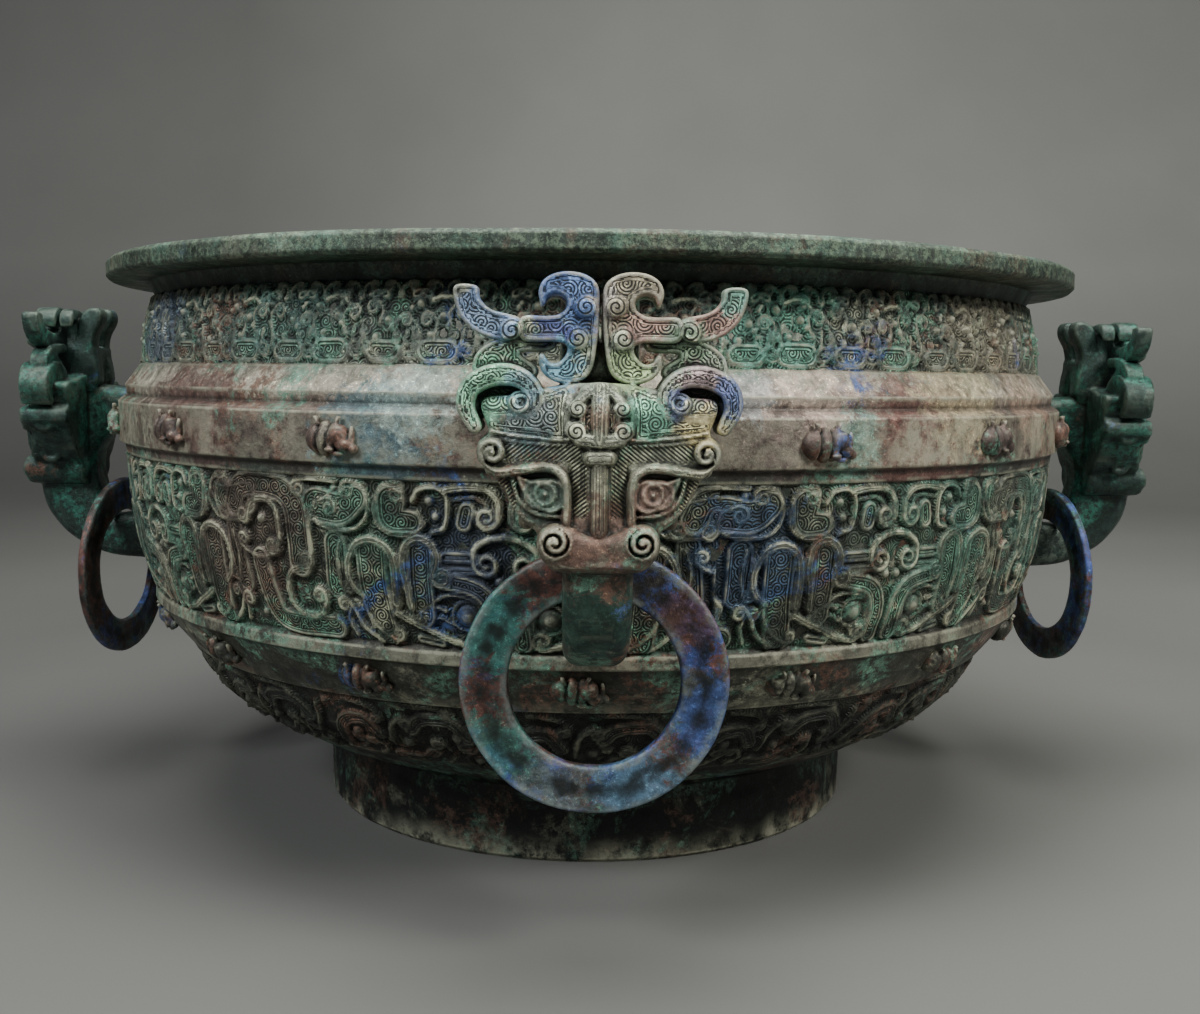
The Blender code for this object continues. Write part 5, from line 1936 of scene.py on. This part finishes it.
def blots(*rows: tuple[float, ...]) -> tuple[Patch, ...]:
    """Turn rows of x, y, z, radius, red, green, blue and share into blots of colour."""
    return tuple(Patch(row[:3], row[3], row[4:7], row[7]) for row in rows)


@dataclass(frozen=True)
class Patina:
    """Old bronze: a ground colour by height with patches and crust, worn edges lightened as wear and painted
    highlight, and hollows darkened as painted shade.
    """

    name: str
    ground: tuple[tuple[float, Tint], ...]
    crust: Tint = (0.12, 0.25, 0.18)
    crust_share: float = 0.45
    azurite: Tint = (0.05, 0.10, 0.26)
    azurite_share: float = 0.35
    rust: Tint = (0.16, 0.085, 0.06)
    rust_share: float = 0.4
    # worn: pale worn patina, in cloudy patches and on raised edges, where it also serves as a painted
    # highlight.
    worn: Tint = (0.46, 0.46, 0.34)
    pale_share: float = 0.3
    # hollow is the near-black painted as shade into hollows and carved grooves, and the share after it sets
    # how strongly it shows in hollows.
    hollow: Tint = (0.006, 0.008, 0.006)
    lip_speckle: Tint = (0.30, 0.42, 0.27)
    hollow_shade_share: float = 0.9
    wear_and_highlight: float = 0.7
    contrast: float = 0.9
    quiet_height: float = 1.0
    metal: float = 0.30
    rough: float = 0.46
    carved: bool = False
    hatched: bool = False
    carve_pitch: float = 1.1
    carve_cell: float = 5.2
    lively: float = 1.0
    patches: tuple[Patch, ...] = ()

    def carving(self, bench: Bench) -> tuple[Socket, Socket]:
        """Draw the fine lines of the plates: coils inside and lines along the border.

        Args:
            bench: the material's nodes.

        Returns:
            The lines, 1 on top and 0 in a groove, and the mask of the plates.
        """
        flat = bench.flat()
        scaled = bench.vector("SCALE", flat, 1.0 / self.carve_cell)
        cells = bench.add("ShaderNodeTexVoronoi", {"Vector": scaled, "Scale": 1.0, "Randomness": 0.62},
                          voronoi_dimensions="2D")
        way = bench.vector("SUBTRACT", scaled, cells.outputs["Position"])
        right, up, _ = bench.split(way)
        away = bench.times(bench.vector("LENGTH", way), self.carve_cell / self.carve_pitch)
        coils = bench.less(away, bench.over(bench.math("ARCTAN2", up, right), TURN))
        border = bench.over(bench.attribute("edge"), self.carve_pitch)
        near_border = bench.ease(border, 2.7, 2.3)
        wave = bench.plus(bench.times(bench.wave(border), near_border),
                          bench.times(bench.wave(coils), bench.less(1.0, near_border)))
        lines = bench.ease(wave, -0.75, 0.55)
        if not self.hatched:
            return lines, bench.attribute("plate")
        across, up, _ = bench.split(flat)
        slope = bench.plus(bench.times(bench.math("ABSOLUTE", across), 0.8), up)
        stripes = bench.math("COSINE", bench.times(slope, TURN / HATCH_PITCH))
        hatch = bench.attribute("hatch")
        lines = bench.between(hatch, lines, bench.ease(stripes, -0.5, 0.6))
        for side, rise, radius, pitch in HEAD.coils:
            over = bench.less(bench.math("ABSOLUTE", across), side)
            above = bench.less(up, rise)
            far = bench.math("SQRT", bench.plus(bench.times(over, over), bench.times(above, above)))
            turn = bench.over(bench.math("ARCTAN2", above, over), TURN)
            wave = bench.wave(bench.less(bench.over(far, pitch), turn))
            lines = bench.between(bench.ease(far, radius, radius - 0.3), lines, bench.ease(wave, -0.9, 0.0))
        return lines, bench.math("MAXIMUM", bench.attribute("plate"), hatch)

    def make(self) -> Material:
        """Build the material.

        Returns:
            The material, which reads the numbers kept on its meshes.
        """
        bench = Bench(self.name)
        _, _, height = bench.split(bench.place)
        cavity = bench.attribute("cavity")
        warp = bench.times(bench.less(bench.noise(34.0, 4.0, 0.6), 0.5), 0.016)
        colour = bench.ramp(bench.over(bench.plus(height, warp), LINE.height), self.ground)
        lip = bench.ease(height, self.quiet_height, self.quiet_height + 4.0 * MM)
        quiet = bench.math("MAXIMUM", lip, bench.attribute("inside"))
        fade = bench.times(bench.remap(quiet, 0.0, 1.0, 1.0, 0.35), bench.remap(height, 0.01, 0.09, 0.4, 1.0))
        layers = (
            (17.0, (0.3, 0.9, 2.2), 0.42, 0.10, self.worn, 0.45 * self.lively, 0.9),
            (23.0, (3.1, 1.7, 0.4), self.rust_share, 0.05, self.rust, 0.85, 0.9),
            (27.0, (-2.3, 5.2, 1.1), self.crust_share, 0.07, self.crust, 0.9, 0.7),
            (15.0, (7.7, -1.2, 2.6), self.azurite_share - 0.12, 0.08, self.azurite, 0.9, 0.8),
        )
        for scale, offset, share, blur, tint, strength, twist in layers:
            cloud = bench.noise(scale, 6.0, 0.7, twist, offset)
            edge = 0.5 + 0.28 * (0.5 - share)
            speck = bench.noise(scale * 14.0, 4.0, 0.75, 0.0, offset[::-1])
            amount = bench.times(bench.ease(cloud, edge, edge + blur), strength,
                                 bench.ease(speck, 0.42, 0.52), fade)
            colour = bench.blend(amount, colour, tint)
        for patch in self.patches:
            colour = bench.blend(patch.amount(bench), colour, patch.tint)
        tone = bench.noise(210.0, 7.0, 0.78, 0.4, (5.5, 0.2, 3.3))
        tone = bench.math("POWER", bench.remap(tone, 0.34, 0.66, 0.62, 1.40), 1.0 + self.contrast)
        colour = bench.blend(1.0, colour, bench.colour(tone, tone, tone), "MULTIPLY")
        pale = bench.noise(760.0, 5.0, 0.8, 0.2, (1.4, 4.3, 0.9))
        edge = 0.5 + 0.2 * (0.5 - self.pale_share)
        pale = bench.ease(pale, edge + 0.02, edge + 0.12)
        lighter = bench.blend(1.0, colour, (3.0, 3.2, 2.9), "MULTIPLY")
        colour = bench.blend(bench.times(pale, 0.8), colour, lighter)
        fine = bench.ease(bench.noise(430.0, 6.0, 0.86, 0.3, (6.4, 1.3, 2.9)), 0.50, 0.56)
        colour = bench.blend(bench.times(fine, lip, 0.34), colour, self.lip_speckle)
        # Raised edges (cavity above zero) are lightened towards the worn colour in ragged places: worn
        # patina, and a painted highlight on the edges.
        rubbed_and_lit = bench.ease(bench.noise(95.0, 5.0, 0.75, 0.0, (2.0, 2.0, 9.0)), 0.36, 0.6)
        wear_and_highlight = bench.times(bench.ease(cavity, 0.12, 0.75), rubbed_and_lit, self.wear_and_highlight,
                           bench.remap(quiet, 0.0, 1.0, 1.0, 0.12))
        colour = bench.blend(wear_and_highlight, colour, self.worn)
        # Painted shade: where the surface is hollow (cavity below zero) the colour is darkened towards the
        # near-black hollow colour.
        low = bench.ease(cavity, -0.02, -0.6)
        colour = bench.blend(bench.times(low, self.hollow_shade_share), colour, self.hollow)
        normal = bench.bump(bench.noise(700.0, 5.0, 0.78), 0.5 * MM, 0.7)
        normal = bench.bump(bench.noise(120.0, 4.0, 0.6), 0.7 * MM, 0.45, normal)
        if self.carved:
            lines, plate = self.carving(bench)
            # Painted shade and highlight on the fine carving: its grooves are darkened towards the near-black
            # hollow colour, and the tops of its lines are lightened in ragged places, partly as wear.
            groove = bench.times(bench.less(1.0, lines), plate)
            colour = bench.blend(bench.times(groove, 0.86), colour, self.hollow)
            crest = bench.times(lines, plate, rubbed_and_lit, 0.9)
            colour = bench.blend(crest, colour, bench.blend(1.0, colour, (2.3, 2.3, 2.1), "MULTIPLY"))
            normal = bench.bump(bench.less(1.0, groove), 0.5 * MM, 1.0, normal)
        bench.feed(bench.shader.inputs["Base Color"], colour)
        rough = bench.remap(bench.noise(90.0, 4.0, 0.6), 0.3, 0.7, self.rough - 0.14, self.rough + 0.16)
        bench.feed(bench.shader.inputs["Roughness"], rough)
        bench.feed(bench.shader.inputs["Metallic"], self.metal)
        bench.feed(bench.shader.inputs["Normal"], normal)
        return bench.material


@dataclass(frozen=True)
class Studio:
    """The floor, the lights and the camera."""

    lens: float = 37.26
    distance: float = 0.6125
    eye_height: float = 0.1976
    pitch: float = 0.1058
    roll: float = 0.0132
    yaw: float = 0.0089
    turn: float = math.radians(-0.6)
    floor_size: float = 9.0

    def camera(self) -> Object:
        """Stand the camera where the photograph was taken from.

        Returns:
            The camera.
        """
        data = bpy.data.cameras.new("camera")
        data.lens = self.lens
        data.sensor_width = 36.0
        data.sensor_fit = "HORIZONTAL"
        data.clip_start = 0.01
        eye = linked("camera", data)
        place = Matrix.Translation((0.0, -self.distance, self.eye_height))
        level = Matrix.Rotation(math.pi / 2.0, 4, "X")
        look = Matrix.Rotation(-self.yaw, 4, "Z") @ Matrix.Rotation(-self.pitch, 4, "X")
        look = look @ Matrix.Rotation(-self.roll, 4, "Y") @ level
        eye.matrix_world = Matrix.Rotation(self.turn, 4, "Z") @ place @ look
        bpy.context.scene.camera = eye
        return eye

    def soft_box(self, name: str, place: Point3, aim: Point3, size: Point, power: float, tint: Tint) -> None:
        """Hang one rectangular lamp and aim it.

        Args:
            name: its name.
            place: where it hangs.
            aim: the point that it faces.
            size: its width and height.
            power: its power in watts.
            tint: its colour.
        """
        lamp = bpy.data.lights.new(name, "AREA")
        lamp.shape = "RECTANGLE"
        lamp.size, lamp.size_y = size
        lamp.energy = power
        lamp.color = tint
        holder = linked(name, lamp)
        holder.location = place
        holder.rotation_euler = (Vector(aim) - Vector(place)).to_track_quat("-Z", "Y").to_euler()

    def floor(self) -> None:
        """Lay a floor that rises behind the object as a curved backdrop."""
        bench = Bench("floor_paper")
        tone = bench.remap(bench.noise(3.0, 3.0, 0.5), 0.3, 0.7, 0.95, 1.05)
        across, _, height = bench.split(bench.place)
        # Painted light and shade on the paper: darker towards the left and lighter up the backdrop.
        tone = bench.times(tone, bench.remap(height, 0.0, 0.45, 0.78, 1.85),
                           bench.remap(across, -0.8, 0.1, 0.56, 1.0))
        paper = bench.colour(*(bench.times(tone, share) for share in (0.165, 0.168, 0.158)))
        bench.feed(bench.shader.inputs["Base Color"], paper)
        bench.feed(bench.shader.inputs["Roughness"], 0.8)
        half = self.floor_size / 2.0
        back = [(-half, 0.0), (1.3, 0.0)]
        for step in range(1, 13):
            angle = math.radians(90.0 * step / 12)
            back.append((1.3 + 1.2 * math.sin(angle), 1.2 - 1.2 * math.cos(angle)))
        back.append((2.5, 4.5))
        points = np.array([(side * half, y, z) for y, z in back for side in (-1.0, 1.0)])
        mesh = quads_mesh("floor", points, sheet_quads(len(back), 2, False))
        mesh.materials.append(bench.material)
        linked("floor", mesh)

    def build(self) -> None:
        """Set the whole studio up."""
        self.camera()
        self.floor()
        self.soft_box("top_light", (0.0, -0.3, 1.8), (0.0, 0.0, 0.1), (1.3, 0.9), 42.0, (1.0, 0.99, 0.96))
        self.soft_box("front_left", (-1.3, -1.3, 1.5), (0.0, 0.0, 0.15), (0.6, 0.6), 34.0, (0.95, 0.98, 1.0))
        self.soft_box("front_right", (1.3, -1.2, 1.5), (0.0, 0.0, 0.15), (0.6, 0.6), 38.0, (1.0, 0.98, 0.94))
        world = bpy.data.worlds.new("room")
        world.use_nodes = True
        background = world.node_tree.nodes["Background"]
        background.inputs["Color"].default_value = (0.78, 0.80, 0.80, 1.0)
        background.inputs["Strength"].default_value = 0.20
        bpy.context.scene.world = world


# The body's colours by height carry painted light and shade over the patina: the upward-facing shoulder near
# 0.8 is painted pale as a highlight, and the downward-facing lower body and foot are painted darker than
# their dark patina, as shade.
BODY_GROUND_LIGHT_SHADE = (
    (0, (0.004, 0.006, 0.005)), (0.14, (0.006, 0.008, 0.006)), (0.24, (0.012, 0.014, 0.011)),
    (0.36, (0.034, 0.036, 0.028)), (0.42, (0.06, 0.058, 0.046)), (0.66, (0.06, 0.075, 0.062)),
    (0.69, (0.064, 0.045, 0.039)), (0.752, (0.088, 0.064, 0.055)), (0.775, (0.19, 0.15, 0.125)),
    (0.8, (0.43, 0.39, 0.31)), (0.83, (0.2, 0.195, 0.16)), (0.93, (0.03, 0.044, 0.036)),
    (0.96, (0.02, 0.032, 0.026)), (0.985, (0.024, 0.04, 0.031)), (1, (0.05, 0.078, 0.062)),
)
MAIN_GROUND = (
    (0.43, (0.04, 0.058, 0.046)), (0.52, (0.075, 0.08, 0.062)), (0.6, (0.07, 0.09, 0.072)),
    (0.67, (0.09, 0.096, 0.076)),
)
# The neck band's colours by height grow darker towards the top, where shade under the lip is painted in over
# the patina.
NECK_GROUND_SHADE = (
    (0.82, (0.19, 0.2, 0.16)), (0.87, (0.11, 0.15, 0.13)), (0.94, (0.035, 0.06, 0.05)),
)
HEAD_GROUND = (
    (0.43, (0.03, 0.046, 0.04)), (0.585, (0.09, 0.07, 0.052)), (0.66, (0.11, 0.095, 0.066)),
    (0.73, (0.21, 0.22, 0.17)), (0.82, (0.25, 0.29, 0.23)), (0.92, (0.19, 0.21, 0.19)),
)
SIDE_GROUND = (
    (0.43, (0.02, 0.034, 0.029)), (0.7, (0.026, 0.055, 0.045)), (0.92, (0.022, 0.046, 0.038)),
)
RING_GROUND = (
    (0.25, (0.07, 0.105, 0.12)), (0.36, (0.05, 0.06, 0.058)), (0.55, (0.04, 0.036, 0.034)),
)
LOWER_GROUND = (
    (0.2, (0.014, 0.017, 0.013)), (0.33, (0.026, 0.03, 0.024)),
)
FRONT_PATCHES = blots(
    (-9, -262, 221, 15, 0.075, 0.14, 0.34, 0.9), (-14, -262, 208, 7, 0.06, 0.07, 0.21, 0.8),
    (-12, -262, 200, 8, 0.12, 0.27, 0.38, 0.9), (-33, -258, 214, 10, 0.12, 0.19, 0.35, 0.8),
    (-32, -262, 194, 12, 0.19, 0.42, 0.28, 0.85), (-22, -262, 193, 7, 0.17, 0.31, 0.38, 0.7),
    (-20, -264, 184, 9, 0.13, 0.18, 0.22, 0.6), (9, -262, 220, 14, 0.26, 0.22, 0.16, 0.8),
    (12, -262, 211, 8, 0.33, 0.21, 0.18, 0.9), (33, -258, 213, 9, 0.34, 0.19, 0.16, 0.8),
    (37, -258, 219, 5, 0.11, 0.29, 0.24, 0.8), (9, -262, 199, 8, 0.3, 0.39, 0.21, 0.9),
    (24, -258, 205, 9, 0.18, 0.27, 0.19, 0.8), (29, -262, 196, 8, 0.27, 0.18, 0.21, 0.8),
    (39, -262, 192, 8, 0.08, 0.12, 0.3, 0.85), (22, -262, 189, 6, 0.08, 0.11, 0.27, 0.7),
    (13, -264, 186, 8, 0.14, 0.36, 0.25, 0.85), (29, -264, 183, 8, 0.42, 0.36, 0.19, 0.85),
    (0, -268, 186, 5, 0.19, 0.12, 0.09, 0.8), (16, -268, 164, 8, 0.2, 0.12, 0.095, 0.8),
    (-16, -268, 164, 8, 0.07, 0.12, 0.095, 0.7), (0, -271, 152, 13, 0.11, 0.06, 0.045, 0.8),
    (0, -264, 122, 20, 0.02, 0.06, 0.046, 0.9), (9.5, -266, 128, 6, 0.07, 0.12, 0.27, 0.9),
    (-9.5, -266, 124, 5, 0.11, 0.1, 0.07, 0.8),
)
RING_PATCHES = blots(
    (-32, -229, 118, 14, 0.04, 0.17, 0.15, 0.85), (-34, -229, 80, 12, 0.05, 0.16, 0.13, 0.7),
    (36, -229, 90, 14, 0.045, 0.085, 0.24, 0.8), (14, -229, 64, 16, 0.08, 0.16, 0.24, 0.8),
    (30, -229, 124, 12, 0.11, 0.05, 0.04, 0.7), (-12, -229, 66, 12, 0.12, 0.15, 0.14, 0.6),
)
BODY_PATCHES = blots(
    (-75, -205, 174, 24, 0.07, 0.13, 0.15, 0.8), (-60, -205, 189, 16, 0.3, 0.4, 0.37, 0.6),
    (70, -205, 190, 24, 0.52, 0.4, 0.33, 0.6), (118, -182, 178, 34, 0.15, 0.07, 0.06, 0.8),
    (60, -205, 176, 14, 0.08, 0.06, 0.055, 0.8), (50, -210, 194, 12, 0.33, 0.36, 0.36, 0.6),
    (130, -165, 195, 26, 0.46, 0.4, 0.25, 0.6), (-150, -155, 178, 30, 0.13, 0.08, 0.07, 0.7),
    (85, -192, 176, 14, 0.16, 0.31, 0.25, 0.7), (168, -130, 190, 20, 0.42, 0.3, 0.22, 0.5),
    (-205, -70, 100, 22, 0.06, 0.19, 0.15, 0.7), (190, -70, 92, 20, 0.06, 0.11, 0.22, 0.6),
)
MAIN_PATCHES = blots(
    (-120, -168, 140, 30, 0.12, 0.085, 0.07, 0.7), (-45, -206, 135, 20, 0.04, 0.056, 0.11, 0.7),
    (50, -206, 138, 24, 0.04, 0.075, 0.14, 0.8), (-78, -195, 145, 18, 0.08, 0.19, 0.14, 0.6),
    (125, -170, 145, 34, 0.07, 0.18, 0.135, 0.6), (178, -112, 140, 34, 0.07, 0.17, 0.135, 0.6),
    (-190, -92, 135, 32, 0.06, 0.15, 0.125, 0.6),
)
NECK_PATCHES = blots(
    (-172, -110, 214, 26, 0.08, 0.11, 0.18, 0.6), (-110, -172, 214, 26, 0.09, 0.19, 0.16, 0.6),
    (60, -196, 214, 24, 0.08, 0.23, 0.18, 0.7), (150, -140, 212, 34, 0.26, 0.22, 0.16, 0.6),
    (192, -70, 212, 26, 0.12, 0.32, 0.23, 0.6),
)


def main() -> None:
    """Build the studio and every piece, and report them."""
    logging.basicConfig(level=logging.INFO, format="%(name)s: %(message)s")
    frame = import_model()
    LOG.info("nodes: %s", ", ".join(sorted(frame["nodes"])))
    Studio().build()
    body = Patina("basin_patina", BODY_GROUND_LIGHT_SHADE, crust_share=0.42, azurite_share=0.22, rust_share=0.4,
                  hollow_shade_share=0.5, quiet_height=231.0 * MM, patches=BODY_PATCHES).make()
    vessel = Vessel(body).build()
    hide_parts("basin")
    masks = tuple(FIRST_MASK + MASK_TURN * number for number in range(MASK_COUNT))
    units = tuple(UNIT_TURN * number for number in range(UNIT_COUNT))
    widest, neck, lower = MainFigures(), NeckFigures(), LowerFigures()
    main_finish = Patina("main_relief_patina", MAIN_GROUND, carved=True, hollow_shade_share=0.62,
                         patches=MAIN_PATCHES).make()
    neck_finish = Patina("neck_relief_patina", NECK_GROUND_SHADE, carved=True, carve_cell=4.6, hollow_shade_share=0.75,
                         patches=NECK_PATCHES).make()
    lower_finish = Patina("lower_relief_patina", LOWER_GROUND, carved=True, crust_share=0.25, pale_share=0.1,
                          azurite_share=0.1, worn=(0.12, 0.12, 0.09)).make()
    bands = (
        ReliefBand("main_relief", LINE.main_band, 0.70, widest.canvas(0.5), masks, widest.pitch / MASK_TURN,
                   main_finish, pieces=3),
        ReliefBand("neck_relief", LINE.neck_band, 0.78, neck.canvas(0.5), units, neck.pitch / UNIT_TURN,
                   neck_finish, seed=31),
        ReliefBand("lower_relief", LINE.lower_band, 1.05, lower.canvas(0.6), units, lower.pitch / UNIT_TURN,
                   lower_finish, seed=51),
    )
    for band in bands:
        for piece in band.build():
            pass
    front = Patina("front_head_patina", HEAD_GROUND, crust_share=0.35, azurite_share=0.35, rust_share=0.3,
                   carved=True, hatched=True, carve_pitch=1.0, patches=FRONT_PATCHES).make()
    others = Patina("side_head_patina", SIDE_GROUND, crust=(0.035, 0.150, 0.110), crust_share=0.5,
                    azurite_share=0.25, rust_share=0.2, worn=(0.15, 0.19, 0.15), pale_share=0.15,
                    carved=True, hatched=True).make()
    quarter = math.pi / 2.0
    BeastHandle(cell=0.5, faces=105000).stand({"front": -quarter}, front)
    BeastHandle().stand({"right": 0.0, "back": quarter, "left": -2.0 * quarter}, others)
    ring_finish = Patina("ring_patina", RING_GROUND, crust=(0.05, 0.17, 0.14), crust_share=0.45,
                         azurite=(0.045, 0.085, 0.27), azurite_share=0.75, rust=(0.125, 0.050, 0.038),
                         rust_share=0.7, worn=(0.24, 0.28, 0.26), lively=0.5, patches=RING_PATCHES).make()
    for number, side in enumerate(("front", "right", "back", "left")):
        LooseRing().build(side, quarter * number - quarter, ring_finish, 71 + number)
    boss_finish = Patina("boss_patina", BODY_GROUND_LIGHT_SHADE, crust_share=0.4, azurite_share=0.3,
                         rust_share=0.6).make()
    BossRow("upper_bosses", 175.5 * MM, skip=4).build(boss_finish)
    BossRow("lower_bosses", 90.4 * MM).build(boss_finish)


if __name__ == "__main__":
    main()
